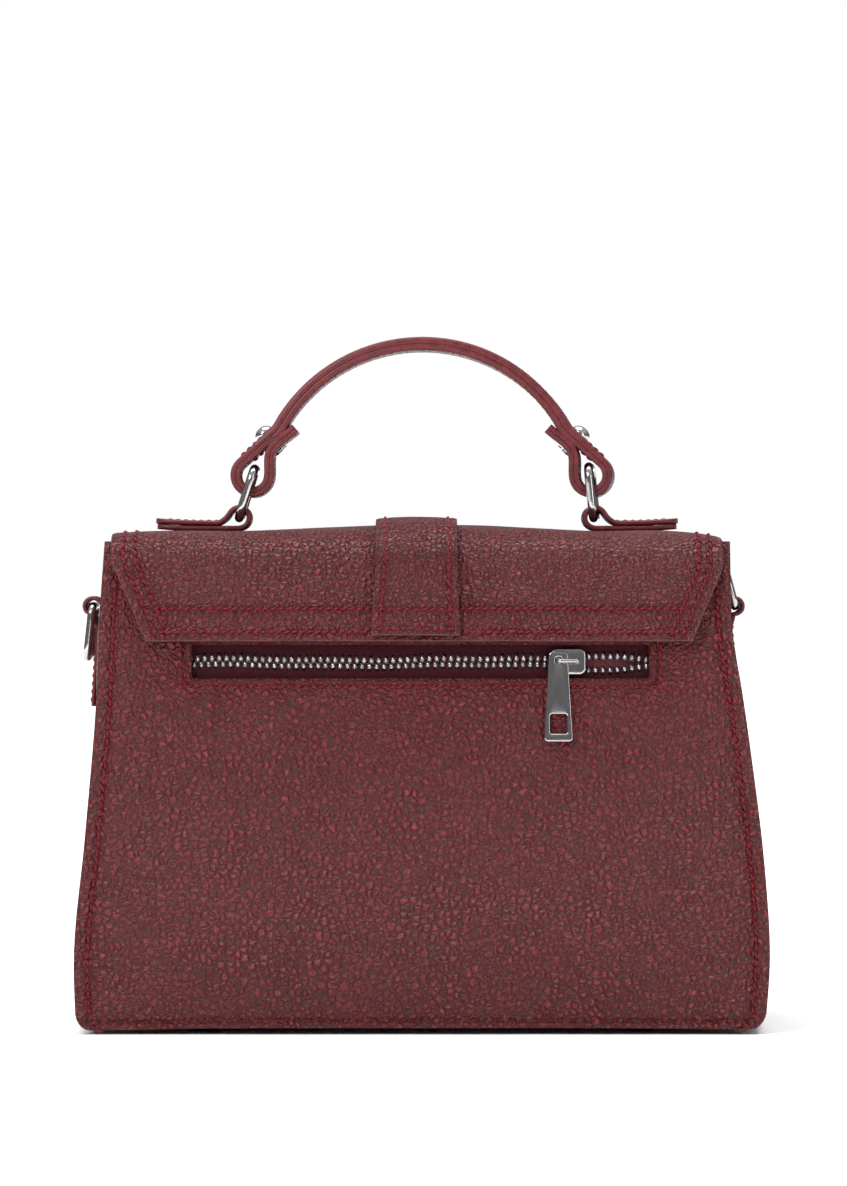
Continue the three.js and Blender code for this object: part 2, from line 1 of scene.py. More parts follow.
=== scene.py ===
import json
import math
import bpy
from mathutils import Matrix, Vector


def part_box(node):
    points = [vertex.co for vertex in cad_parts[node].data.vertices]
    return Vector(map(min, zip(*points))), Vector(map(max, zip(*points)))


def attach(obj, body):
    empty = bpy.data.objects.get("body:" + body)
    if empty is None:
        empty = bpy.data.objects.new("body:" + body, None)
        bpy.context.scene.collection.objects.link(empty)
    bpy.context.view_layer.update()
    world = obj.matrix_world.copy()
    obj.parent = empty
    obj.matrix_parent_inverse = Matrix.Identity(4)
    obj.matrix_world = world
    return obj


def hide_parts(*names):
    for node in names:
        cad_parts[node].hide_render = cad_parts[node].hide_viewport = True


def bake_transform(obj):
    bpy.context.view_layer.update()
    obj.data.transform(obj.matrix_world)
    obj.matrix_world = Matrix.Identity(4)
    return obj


bl_info = {
    "name": "Leather satchel",
    "version": (1, 0, 0),
    "blender": (4, 5, 0),
    "location": "View3D > Sidebar > Satchel",
    "description": "Makes a small top-handle satchel in pebbled leather round its packed frame",
    "category": "Add Mesh",
}

from contextlib import contextmanager

import bmesh
import bpy
import numpy as np
from bpy.props import FloatProperty, PointerProperty
from mathutils import Matrix, Vector, noise

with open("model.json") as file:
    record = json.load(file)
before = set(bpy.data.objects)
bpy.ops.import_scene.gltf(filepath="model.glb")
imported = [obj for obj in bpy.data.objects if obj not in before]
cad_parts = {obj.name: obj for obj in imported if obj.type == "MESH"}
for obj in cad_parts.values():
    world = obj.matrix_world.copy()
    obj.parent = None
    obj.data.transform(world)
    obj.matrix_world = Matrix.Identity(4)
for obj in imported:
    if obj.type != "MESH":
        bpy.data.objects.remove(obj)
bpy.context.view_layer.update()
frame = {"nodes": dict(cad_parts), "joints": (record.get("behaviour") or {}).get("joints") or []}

# Shapes are worked out in millimetres and turned into metres when a mesh is made.
MM = 0.001


def corners(node):
    """A frame node's lowest and highest corner, in millimetres."""
    low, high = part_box(node)
    return low / MM, high / MM


def pivot(joint):
    """Where a joint's axis passes, in millimetres."""
    for entry in frame["joints"]:
        if entry["name"] == joint:
            return Vector(entry["pos_m"]) / MM
    raise ValueError(f"the frame has no joint named {joint}")


# ---- sizes taken from the frame ----
LEATHER = 2.0
PANEL_LOW = corners("back_panel")[0].z
PANEL_TOP = corners("front_panel")[1].z - 0.2
HALF_DEPTH = -corners("back_panel")[0].y
TOP_HALF_DEPTH = LEATHER - corners("back_panel")[1].y
SLOPE = (HALF_DEPTH - TOP_HALF_DEPTH) / (PANEL_TOP - PANEL_LOW)
LEAN = math.atan(SLOPE)
FLAP_TOP = corners("flap_top")[1].z
BACK_HEM = corners("flap_back")[0].z - 0.2
FRONT_HEM = corners("flap_front")[0].z - 0.6
STRAP_LEFT = corners("strap_back")[0].x
STRAP_RIGHT = corners("strap_back")[1].x
CHAIN_LEFT = corners("zip_teeth_upper")[0].x
CHAIN_RIGHT = corners("zip_teeth_upper")[1].x
CHAIN_Z = (corners("zip_teeth_upper")[1].z + corners("zip_teeth_lower")[0].z) / 2
WINDOW_LEFT = CHAIN_LEFT + 6
WINDOW_RIGHT = CHAIN_RIGHT - 6
WINDOW_HALF = 6.8       # half the zip window's height
HANDLE_HALF_WIDTH = corners("handle")[1].y
HANDLE_TOP = corners("handle")[1].z
LOOP_BOTTOM = corners("handle")[0].z
LOOP_OUT = corners("handle")[1].x


def smooth(x):
    """From 0 to 1 with a soft start and end, and level outside."""
    x = min(max(x, 0.0), 1.0)
    return x * x * (3 - 2 * x)


def through(*points):
    """A smooth function of one value that passes through a few chosen points."""
    xs = np.array([p[0] for p in points], float)
    ys = np.array([p[1] for p in points], float)
    slopes = np.gradient(ys, xs)

    def value(x):
        x = min(max(x, xs[0]), xs[-1])
        i = min(int(np.searchsorted(xs, x, "right")) - 1, len(xs) - 2)
        span = xs[i + 1] - xs[i]
        t = (x - xs[i]) / span
        return float(
            (1 + 2 * t) * (1 - t) ** 2 * ys[i]
            + t * (1 - t) ** 2 * span * slopes[i]
            + t * t * (3 - 2 * t) * ys[i + 1]
            + t * t * (t - 1) * span * slopes[i + 1]
        )

    return value


def ripple(point, size, amount):
    """Soft unevenness of a hide, the same on every run."""
    return noise.noise(point / size) * amount


# ---- the outline of the body and the flap ----
left_side = through((2, 133.9), (28, 134.9), (75, 131.0), (128, 126.9), (165, 125.6), (190, 124.0))
right_side = through(
    (2, 132.4), (28, 134.4), (60, 133.0), (105, 128.0), (130, 124.6), (152, 121.2), (190, 120.0),
)
flap_crown = through(
    (-121, -1.4), (-108, -0.5), (-66, -0.1), (-44, 1.2), (0, 2.8),
    (44, 1.2), (62, -0.1), (100, -0.4), (110, -2.0), (117, -4.2),
)


def wall_y(z):
    """The panels' outer face, before they sag."""
    return HALF_DEPTH - (z - PANEL_LOW) * SLOPE


BELLY_TOP = 110.0       # above this the zip and its pull keep the panel flat
BELLY_HALF = 126.0      # and this far from the middle its side seams do


def belly(x, z, amount):
    """How far a soft panel stands out over its contents."""
    across = 1 - min(abs(x) / BELLY_HALF, 1) ** 3.2
    rise = (z - PANEL_LOW) / (BELLY_TOP - PANEL_LOW)
    if rise <= 0 or rise >= 1:
        return 0.0
    return amount * across * math.sin(math.pi * rise ** 0.8) ** 1.2


def panel_out(x, z, lift, draw):
    """How far out a panel's face stands there; draw picks its own unevenness."""
    out = wall_y(z) + belly(x, z, bpy.context.scene.satchel_body.belly) + lift
    return out, ripple(Vector((x, draw, z)), 34, 0.5) * smooth((BELLY_HALF - abs(x)) / 20)


def back_point(x, z, lift=0.0):
    """A place on the back panel, which is even round the zip."""
    out, uneven = panel_out(x, z, lift, 7)
    return Vector((x, -(out + uneven * smooth((108 - z) / 14)), z))


def front_point(x, z, lift=0.0):
    """A place on the front panel."""
    out, uneven = panel_out(x, z, lift, 90)
    return Vector((x, out + uneven, z))


def flap_left(z, hem, straight):
    flare = np.interp(z, [hem, straight], [14.0, 0.0])
    return -120.6 + float(flare)


def flap_right(z, hem, straight):
    flare = np.interp(z, [hem, straight - 3], [12.0, 0.0])
    return 116.2 - float(flare)


def flap_edges(z, front):
    hem, straight = (FRONT_HEM, 138.0) if front else (BACK_HEM, 182.0)
    reach = (-1.5, 0.0, 1.5)
    left = sum(flap_left(z + d, hem, straight) for d in reach) / len(reach)
    right = sum(flap_right(z + d, hem, straight) for d in reach) / len(reach)
    return left, right


BEND_Z = 181.0          # where the hanging parts of the flap start to bend over the top
BEND_BACK = 11.0        # how far in from the back wall the top is flat again
BEND_FRONT = 9.0
BACK_STAND = 3.9        # how far the flap's outer face hangs off the back panel
FRONT_STAND = 7.6       # and off the front one, over the magnets
# places up from the flap's hem, closest together where its stitches pull
HEM_ROWS = (0, 0.6, 1.6, 2.8, 3.6, 4.4, 5.6, 8, 10.6, 11.8, 12.6, 13.4, 14.6)


def stitch_dip(distance, at, depth=0.4, reach=0.9):
    """How deep a row of stitches pulls the leather in, that far from the row."""
    return depth * math.exp(-(((distance - at) / reach) ** 2))


def bend(start, leave, end, arrive, loose, steps=12):
    """Points round a soft corner between two straight stretches, with neither end."""
    span = (end - start).length * 0.5
    first = start + leave.normalized() * (span + loose)
    last = end - arrive.normalized() * (span + loose)
    points = []
    for i in range(1, steps):
        t = i / steps
        points.append(
            start * (1 - t) ** 3 + first * 3 * t * (1 - t) ** 2 + last * 3 * t * t * (1 - t) + end * t ** 3
        )
    return points


def flap_spine(back_end, front_end, near, loose=0.0):
    """The flap's middle line from its back end to its front end.

    Each place is (y, z, way out, share of the crown, part, distance from that end).
    """
    settings = bpy.context.scene.satchel_flap
    back = []
    for z in [back_end + d for d in near] + list(np.linspace(back_end + near[-1] + 3, BEND_Z, 7)):
        stand = settings.hem_stand * smooth((BACK_HEM + 12 - z) / 12)
        back.append(Vector((-(wall_y(z) + BACK_STAND + stand), z)))
    y_back = -(wall_y(FLAP_TOP) - BEND_BACK)
    y_front = wall_y(FLAP_TOP) - BEND_FRONT
    over = bend(back[-1], Vector((SLOPE, 1)), Vector((y_back, FLAP_TOP)), Vector((1, 0.02)), loose)
    top = [Vector((y, FLAP_TOP)) for y in np.linspace(y_back, y_front, 22)]
    front_z = list(np.linspace(BEND_Z, front_end + near[-1] + 3, 16))
    front_z += [front_end + d for d in reversed(near)]
    front = [Vector((wall_y(z) + FRONT_STAND, z)) for z in front_z]
    down = bend(top[-1], Vector((1, -0.02)), front[0], Vector((SLOPE, -1)), loose)
    middle, half = (y_back + y_front) / 2, (y_front - y_back) / 2
    places = []
    places += [(p, 0.0, "back", p.y - back_end) for p in back]
    places += [(p, 0.62 * smooth((i + 1) / len(over)), "over", 99.0) for i, p in enumerate(over)]
    for p in top:
        share = 0.62 + 0.38 * math.cos((p.x - middle) / half * math.pi / 2)
        places.append((p, share, "top", 99.0))
    places += [(p, 0.62 * smooth(1 - (i + 1) / len(down)), "down", 99.0) for i, p in enumerate(down)]
    places += [(p, 0.0, "front", p.y - front_end) for p in front]
    spine = []
    for i, (point, share, part, distance) in enumerate(places):
        along = places[min(i + 1, len(places) - 1)][0] - places[max(i - 1, 0)][0]
        out = Vector((-along.y, along.x)).normalized()
        spine.append((point.x, point.y, out, share, part, distance))
    return spine


def flap_at(spine_place, x, lift=0.0):
    """A place on the flap's outer face, that far off it."""
    y, z, out, share, _, _ = spine_place
    uneven = ripple(Vector((x, y * 1.4, z)), 26, 0.7) * smooth(abs(z - 196) / 14 + 0.25)
    lift = lift + uneven
    return Vector((x, y + out.x * lift, z + share * flap_crown(x) + out.y * lift))


def flap_out(spine_place):
    """The way out of the flap there."""
    return Vector((0, spine_place[2].x, spine_place[2].y))


def spine_edges(spine_place):
    """The flap's two side edges there; it is straight where it lies on top."""
    _, z, _, _, part, _ = spine_place
    if part == "back":
        return flap_edges(z, False)
    if part == "front":
        return flap_edges(z, True)
    return flap_edges(BEND_Z + 8, False)


def columns(left, right, margins, middle):
    """Places across a sheet: at set distances in from each edge, and evenly between them."""
    first = [left + d for d in margins]
    last = [right - d for d in reversed(margins)]
    between = list(np.linspace(first[-1], last[0], middle + 2))[1:-1]
    return first + between + last


# ---- meshes ----
MERGE = 1e-6            # points closer than this, in metres, become one


def placed(name, data):
    """A new object in the scene that shows this data."""
    obj = bpy.data.objects.new(name, data)
    bpy.context.scene.collection.objects.link(obj)
    return obj


def new_object(name, points, faces, materials, indices=None):
    mesh = bpy.data.meshes.new(name)
    mesh.from_pydata([tuple(Vector(p) * MM) for p in points], [], faces)
    for material in materials:
        mesh.materials.append(material)
    if indices is not None:
        mesh.polygons.foreach_set("material_index", indices)
    mesh.shade_smooth()
    return placed(name, mesh)


@contextmanager
def editing(mesh):
    """Opens a mesh for bmesh edits and writes them back."""
    shape = bmesh.new()
    shape.from_mesh(mesh)
    yield shape
    shape.to_mesh(mesh)
    shape.free()


def bake_modifiers(obj):
    """Replaces an object's mesh by what its modifiers make of it."""
    bpy.context.view_layer.update()
    graph = bpy.context.evaluated_depsgraph_get()
    mesh = bpy.data.meshes.new_from_object(obj.evaluated_get(graph), depsgraph=graph)
    before = obj.data
    obj.modifiers.clear()
    obj.data = mesh
    bpy.data.meshes.remove(before)
    mesh.name = obj.name
    mesh.shade_smooth()
    return obj


def sheet(name, rows, thickness, materials, skip=None, rounding=0.45, weld=False):
    """A closed leather sheet whose outer face passes through rows of points.

    materials are the outer face's, the inner face's and the cut edge's.
    """
    width = len(rows[0])
    points = [p for row in rows for p in row]
    faces = []
    for r in range(len(rows) - 1):
        for c in range(width - 1):
            if skip and skip(r, c):
                continue
            a = r * width + c
            faces.append((a, a + 1, a + width + 1, a + width))
    obj = new_object(name, points, faces, materials)
    with editing(obj.data) as shape:
        loose = [v for v in shape.verts if not v.link_faces]
        bmesh.ops.delete(shape, geom=loose, context="VERTS")
        if weld:
            bmesh.ops.remove_doubles(shape, verts=shape.verts, dist=MERGE)
    wall = obj.modifiers.new("Thickness", "SOLIDIFY")
    wall.thickness = thickness * MM
    wall.offset = -1
    wall.material_offset = 1
    wall.material_offset_rim = 2
    edge = obj.modifiers.new("Rounded edge", "BEVEL")
    edge.width = rounding * MM
    edge.segments = 2
    edge.limit_method = "ANGLE"
    edge.angle_limit = math.radians(50)
    edge.material = 2
    return bake_modifiers(obj)


def along_path(path, across):
    """Frames down a path: each point with its tangent and the normal across × tangent."""
    frames = []
    for i, point in enumerate(path):
        before = path[max(i - 1, 0)]
        after = path[min(i + 1, len(path) - 1)]
        tangent = (after - before).normalized()
        frames.append((point, tangent, across.cross(tangent).normalized()))
    return frames


def strap_section(width, thickness, groove=None, plies=1):
    """A flat strap's section, as (across, out, kind) with kind 1 on its cut edges.

    With two plies a fine line runs along the middle of each cut edge.
    """
    half, high = width / 2, thickness / 2
    round_off = min(0.55, high * 0.6)
    inner = [-half + round_off, -half + 1.4]
    if groove:
        inner += [-half + groove + d for d in (-0.7, 0, 0.7)]
    inner += [-half * 0.4, 0]
    spots = inner + [-a for a in reversed(inner[:-1])]
    face = []
    for a in spots:
        dip = stitch_dip(half - abs(a), groove, 0.25, 0.5) if groove else 0
        face.append((a, high - dip - (0.12 if abs(a) > half - 1 else 0), 0))
    side = [
        (half - round_off * 0.35, high - round_off * 0.45, 1),
        (half, high * 0.35, 1),
        *([(half - 0.05, 0.14, 1), (half - 0.4, 0, 1), (half - 0.05, -0.14, 1)] if plies > 1 else []),
        (half, -high * 0.35, 1),
        (half - round_off * 0.35, -high + round_off * 0.45, 1),
    ]
    under = [(a, -b, k) for a, b, k in reversed(face)]
    back = [(-a, -b, k) for a, b, k in side]
    return face + side + under + back


def round_section(radius, sides):
    """A wire's or a thread's section."""
    return [
        (radius * math.cos(2 * math.pi * i / sides), radius * math.sin(2 * math.pi * i / sides), 0)
        for i in range(sides)
    ]


def rounded_box(left, right, low, high, corner, steps=5):
    """A box's outline with round corners, from its right side over the top."""
    points = []
    for x, y, start in (
        (right - corner, high - corner, 0), (left + corner, high - corner, 90),
        (left + corner, low + corner, 180), (right - corner, low + corner, 270),
    ):
        for a in np.linspace(start, start + 90, steps + 1):
            c, s = math.cos(math.radians(a)), math.sin(math.radians(a))
            points.append((x + corner * c, y + corner * s))
    return points


def rounded(half_x, half_y, corner):
    """The same about its own middle."""
    return rounded_box(-half_x, half_x, -half_y, half_y, corner)


def sweep(name, path, section, across, materials, closed=False, narrow=None, thicken=None,
          soften=True):
    """A closed solid: one section carried along a path, with flat ends unless it closes."""
    frames = along_path(path, across)
    if closed:
        count = len(path)
        frames = []
        for i, point in enumerate(path):
            tangent = (path[(i + 1) % count] - path[i - 1]).normalized()
            frames.append((point, tangent, across.cross(tangent).normalized()))
    points, faces, indices = [], [], []
    n = len(section)
    for i, (point, tangent, normal) in enumerate(frames):
        scale = narrow(i / (len(frames) - 1)) if narrow else 1.0
        deep = thicken(i / (len(frames) - 1)) if thicken else 1.0
        for a, b, _ in section:
            points.append(point + across * a * scale + normal * b * deep)
    rings = len(frames) if closed else len(frames) - 1
    for i in range(rings):
        for j in range(n):
            a, b = i * n, ((i + 1) % len(frames)) * n
            faces.append((a + j, a + (j + 1) % n, b + (j + 1) % n, b + j))
            indices.append(max(section[j][2], section[(j + 1) % n][2]))
    if not closed:
        faces.append(tuple(range(n)))
        faces.append(tuple(reversed(range(len(points) - n, len(points)))))
        indices += [1 if len(materials) > 1 else 0] * 2
    obj = new_object(name, points, faces, materials, indices)
    outward(obj)
    if not closed and soften:
        edge = obj.modifiers.new("Rounded ends", "BEVEL")
        edge.width = 0.3 * MM
        edge.segments = 2
        edge.limit_method = "ANGLE"
        edge.angle_limit = math.radians(60)
        bake_modifiers(obj)
    return obj


def outward(obj):
    """Turns every face of a closed mesh outwards."""
    with editing(obj.data) as shape:
        bmesh.ops.remove_doubles(shape, verts=shape.verts, dist=MERGE)
        bmesh.ops.recalc_face_normals(shape, faces=shape.faces)
    obj.data.shade_smooth()
    return obj


def lathe(name, profile, place, direction, materials, sides=28):
    """A turned piece: (radius, height) points that start and end on the axis."""
    points, faces = [], []
    for r, h in profile:
        for i in range(sides):
            angle = 2 * math.pi * i / sides
            points.append(Vector((r * math.cos(angle), r * math.sin(angle), h)))
    for k in range(len(profile) - 1):
        for i in range(sides):
            a, b = k * sides, (k + 1) * sides
            j = (i + 1) % sides
            faces.append((a + i, a + j, b + j, b + i))
    turn = direction.to_track_quat("Z", "Y").to_matrix()
    obj = new_object(name, [place + turn @ p for p in points], faces, materials)
    with editing(obj.data) as shape:
        bmesh.ops.remove_doubles(shape, verts=shape.verts, dist=MERGE)
        bmesh.ops.dissolve_degenerate(shape, edges=shape.edges, dist=MERGE / 10)
    return outward(obj)


def plate(name, outline, place, materials, thickness, bevel, holes=()):
    """A flat metal plate from an outline in the wall's own x and height, with soft edges."""
    curve = bpy.data.curves.new(name, "CURVE")
    curve.dimensions = "2D"
    curve.fill_mode = "BOTH"
    curve.extrude = (thickness / 2 - bevel) * MM
    curve.bevel_depth = bevel * MM
    curve.bevel_resolution = 3
    curve.offset = -bevel * MM
    for loop in (outline, *holes):
        spline = curve.splines.new("POLY")
        spline.points.add(len(loop) - 1)
        for point, (x, y) in zip(spline.points, loop):
            point.co = (x * MM, y * MM, 0, 1)
        spline.use_cyclic_u = True
    holder = placed(name, curve)
    bpy.context.view_layer.update()
    graph = bpy.context.evaluated_depsgraph_get()
    mesh = bpy.data.meshes.new_from_object(holder.evaluated_get(graph), depsgraph=graph)
    bpy.data.objects.remove(holder)
    bpy.data.curves.remove(curve)
    mesh.transform(place)
    mesh.materials.clear()
    for material in materials:
        mesh.materials.append(material)
    return outward(placed(name, mesh))


def join(name, parts):
    """Several meshes as one piece with the first one's materials."""
    shape = bmesh.new()
    for part in parts:
        shape.from_mesh(part.data)
    mesh = bpy.data.meshes.new(name)
    shape.to_mesh(mesh)
    shape.free()
    for material in parts[0].data.materials:
        mesh.materials.append(material)
    for part in parts:
        old = part.data
        bpy.data.objects.remove(part)
        bpy.data.meshes.remove(old)
    mesh.shade_smooth()
    return placed(name, mesh)


def stand_for(obj, body, slot, *nodes):
    """Puts a finished piece on its body in place of frame nodes."""
    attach(obj, body)
    if nodes:
        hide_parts(*nodes)
    return obj


# ---- shader groups and materials ----
def tone(red, green, blue):
    """A colour as seen on screen (0 to 255), as the shaders' linear one."""
    def linear(value):
        value /= 255
        return value / 12.92 if value <= 0.04045 else ((value + 0.055) / 1.055) ** 2.4

    return (linear(red), linear(green), linear(blue), 1.0)


class Graph:
    """A short way to write down a node tree."""

    def __init__(self, tree):
        self.tree = tree

    def add(self, kind, *links, **settings):
        node = self.tree.nodes.new(kind)
        for name, value in settings.items():
            setattr(node, name, value)
        for socket, source in links:
            if isinstance(source, bpy.types.NodeSocket):
                self.tree.links.new(source, node.inputs[socket])
            else:
                node.inputs[socket].default_value = source
        return node

    def math(self, operation, *values):
        links = [(i, value) for i, value in enumerate(values)]
        return self.add("ShaderNodeMath", *links, operation=operation).outputs[0]

    def mix(self, factor, a, b):
        node = self.add("ShaderNodeMix", (0, factor), data_type="RGBA")
        for index, value in ((6, a), (7, b)):
            if isinstance(value, bpy.types.NodeSocket):
                self.tree.links.new(value, node.inputs[index])
            else:
                node.inputs[index].default_value = value
        return node.outputs[2]

    def ramp(self, value, low, high, to_low=0.0, to_high=1.0):
        node = self.add(
            "ShaderNodeMapRange", (0, value), (1, low), (2, high), (3, to_low), (4, to_high),
            interpolation_type="SMOOTHSTEP",
        )
        return node.outputs[0]

    def millimetres(self):
        place = self.add("ShaderNodeTexCoord").outputs["Object"]
        scale = (1000, 1000, 1000)
        return self.add("ShaderNodeVectorMath", (0, place), (1, scale), operation="MULTIPLY").outputs[0]

    def noise(self, vector, size, detail=2.0):
        node = self.add("ShaderNodeTexNoise", ("Vector", vector), ("Scale", 1 / size), ("Detail", detail))
        return node.outputs[0]


def group(name, inputs, outputs):
    """An empty shader group with float or colour sockets, and its graph and ends."""
    tree = bpy.data.node_groups.new(name, "ShaderNodeTree")
    for socket, value in inputs.items():
        kind = "NodeSocketFloat" if isinstance(value, (int, float)) else "NodeSocketColor"
        tree.interface.new_socket(socket, in_out="INPUT", socket_type=kind).default_value = value
    for socket, kind in outputs.items():
        tree.interface.new_socket(socket, in_out="OUTPUT", socket_type="NodeSocket" + kind)
    graph = Graph(tree)
    return tree, graph, graph.add("NodeGroupInput").outputs, graph.add("NodeGroupOutput").inputs


def leather_group():
    """Tumbled pebble grain: cells with painted shade in their creases and painted sheen on their tops, each
    a little lighter or darker than the next.
    """
    tree, g, given, out = group(
        "Pebble grain",
        {
            "Colour": tone(112, 44, 48), "Crease": tone(58, 16, 22), "Bloom": tone(146, 88, 92),
            "Pebble": 2.3, "Polish": 0.46,
        },
        {"Colour": "Color", "Roughness": "Float", "Height": "Float"},
    )
    place = g.millimetres()
    drift = g.add("ShaderNodeTexNoise", ("Vector", place), ("Scale", 0.5), ("Detail", 2.0)).outputs[1]
    offset = g.add("ShaderNodeVectorMath", (0, drift), (1, (-0.5, -0.5, -0.5)), operation="ADD").outputs[0]
    warp = g.add("ShaderNodeVectorMath", (0, offset), ("Scale", 1.7), operation="SCALE").outputs[0]
    warped = g.add("ShaderNodeVectorMath", (0, place), (1, warp), operation="ADD").outputs[0]
    density = g.math("DIVIDE", 1.0, given["Pebble"])
    edge = g.add(
        "ShaderNodeTexVoronoi", ("Vector", warped), ("Scale", density), feature="DISTANCE_TO_EDGE"
    ).outputs["Distance"]
    cell = g.add("ShaderNodeTexVoronoi", ("Vector", warped), ("Scale", density)).outputs["Color"]
    small = g.add(
        "ShaderNodeTexVoronoi", ("Vector", warped), ("Scale", g.math("MULTIPLY", density, 1.75)),
        feature="DISTANCE_TO_EDGE",
    ).outputs["Distance"]
    patches = g.ramp(g.noise(place, 19.0), 0.38, 0.62)
    big_pebble = g.math("POWER", g.ramp(edge, 0.0, 0.42), 0.7)
    small_pebble = g.math("POWER", g.ramp(small, 0.0, 0.42), 0.7)
    pebble = g.math("ADD", g.math("MULTIPLY", big_pebble, g.ramp(patches, 0, 1, 0.62, 0.9)),
                    g.math("MULTIPLY", small_pebble, g.ramp(patches, 0, 1, 0.38, 0.1)))
    pores = g.noise(place, 0.42, 3.0)
    tilt = g.math("MULTIPLY", g.noise(place, 1.3, 1.0), 0.9)
    height = g.math("ADD", pebble, g.math("MULTIPLY", pores, 0.16))
    height = g.math("ADD", height, tilt)
    shade = g.add("ShaderNodeSeparateColor", (0, cell)).outputs[0]
    drift_tone = g.ramp(g.noise(place, 42.0), 0.3, 0.7)
    # Painted sheen: pebble tops made lighter in the colour, each cell by its own amount, as a tilted facet
    # would catch the light.
    facet_sheen = g.math("MULTIPLY", g.ramp(shade, 0.2, 1.0, 0.0, 0.8), g.ramp(drift_tone, 0, 1, 0.3, 1.0))
    facet_sheen = g.math("MULTIPLY", facet_sheen, g.ramp(pebble, 0.5, 1.0))
    body = g.mix(facet_sheen, given["Colour"], given["Bloom"])
    # Painted shade: the creases between the pebbles are darkened in the colour.
    body = g.mix(g.ramp(pebble, 0.1, 0.56, 0.85, 0.0), body, given["Crease"])
    g.tree.links.new(body, out["Colour"])
    rough = g.math("ADD", given["Polish"], g.ramp(pebble, 0.1, 0.8, 0.16, 0.0))
    g.tree.links.new(g.math("ADD", rough, g.ramp(pores, 0.3, 0.7, -0.04, 0.05)), out["Roughness"])
    g.tree.links.new(height, out["Height"])
    return tree


def wear_group():
    """Two tones drifting slowly into each other, and a fine height that goes with them."""
    tree, g, given, out = group(
        "Mottle",
        {"First": (0.5, 0.5, 0.5, 1), "Second": (0.4, 0.4, 0.4, 1), "Size": 4.0},
        {"Colour": "Color", "Mask": "Float", "Height": "Float"},
    )
    place = g.millimetres()
    density = g.math("DIVIDE", 1.0, given["Size"])
    slow = g.add("ShaderNodeTexNoise", ("Vector", place), ("Scale", density), ("Detail", 4.0)).outputs[0]
    fine = g.add(
        "ShaderNodeTexNoise", ("Vector", place), ("Scale", g.math("MULTIPLY", density, 7.0)), ("Detail", 2.0)
    ).outputs[0]
    mask = g.ramp(slow, 0.32, 0.68)
    g.tree.links.new(g.mix(mask, given["First"], given["Second"]), out["Colour"])
    g.tree.links.new(mask, out["Mask"])
    g.tree.links.new(g.math("ADD", g.math("MULTIPLY", slow, 0.5), fine), out["Height"])
    return tree


def weave_group():
    """Two crossing sets of threads, over and under, at a thread's pitch along X+Y and Z."""
    tree, g, given, out = group(
        "Weave",
        {"Warp": (0.3, 0.05, 0.06, 1), "Weft": (0.2, 0.03, 0.04, 1), "Pitch": 0.6, "Slant": 0.0},
        {"Colour": "Color", "Height": "Float"},
    )
    parts = g.add("ShaderNodeSeparateXYZ", (0, g.millimetres())).outputs
    across = g.math("ADD", parts[0], parts[1])
    turned = g.math("ADD", parts[2], g.math("MULTIPLY", across, given["Slant"]))
    rate = g.math("DIVIDE", math.pi, given["Pitch"])
    warp = g.math("ABSOLUTE", g.math("SINE", g.math("MULTIPLY", across, rate)))
    weft = g.math("ABSOLUTE", g.math("SINE", g.math("MULTIPLY", turned, rate)))
    over = g.math("GREATER_THAN", g.math("SUBTRACT", warp, weft), 0.0)
    g.tree.links.new(g.mix(over, given["Weft"], given["Warp"]), out["Colour"])
    g.tree.links.new(g.math("MAXIMUM", warp, weft), out["Height"])
    return tree


SHADER_SOCKETS = {"specular": "Specular IOR Level", "metallic": "Metallic", "coat": "Coat Weight"}


def material(name, shader_group, values, rough, bump_mm, **constants):
    """A Principled material fed by one shader group, with plain values for the rest."""
    made = bpy.data.materials.new(name)
    made.use_nodes = True
    tree = made.node_tree
    g = Graph(tree)
    shader = tree.nodes["Principled BSDF"]
    looks = g.add("ShaderNodeGroup", node_tree=shader_group)
    for socket, value in values.items():
        looks.inputs[socket].default_value = value
    tree.links.new(looks.outputs["Colour"], shader.inputs["Base Color"])
    if isinstance(rough, tuple):
        spread = g.ramp(looks.outputs[rough[0]], 0.0, 1.0, rough[1], rough[2])
        tree.links.new(spread, shader.inputs["Roughness"])
    elif rough is None:
        tree.links.new(looks.outputs["Roughness"], shader.inputs["Roughness"])
    else:
        shader.inputs["Roughness"].default_value = rough
    bump = g.add("ShaderNodeBump", ("Strength", 1.0), ("Distance", bump_mm * MM))
    tree.links.new(looks.outputs["Height"], bump.inputs["Height"])
    tree.links.new(bump.outputs[0], shader.inputs["Normal"])
    for socket, value in constants.items():
        shader.inputs[SHADER_SOCKETS[socket]].default_value = value
    made.diffuse_color = shader.inputs["Base Color"].default_value
    return made


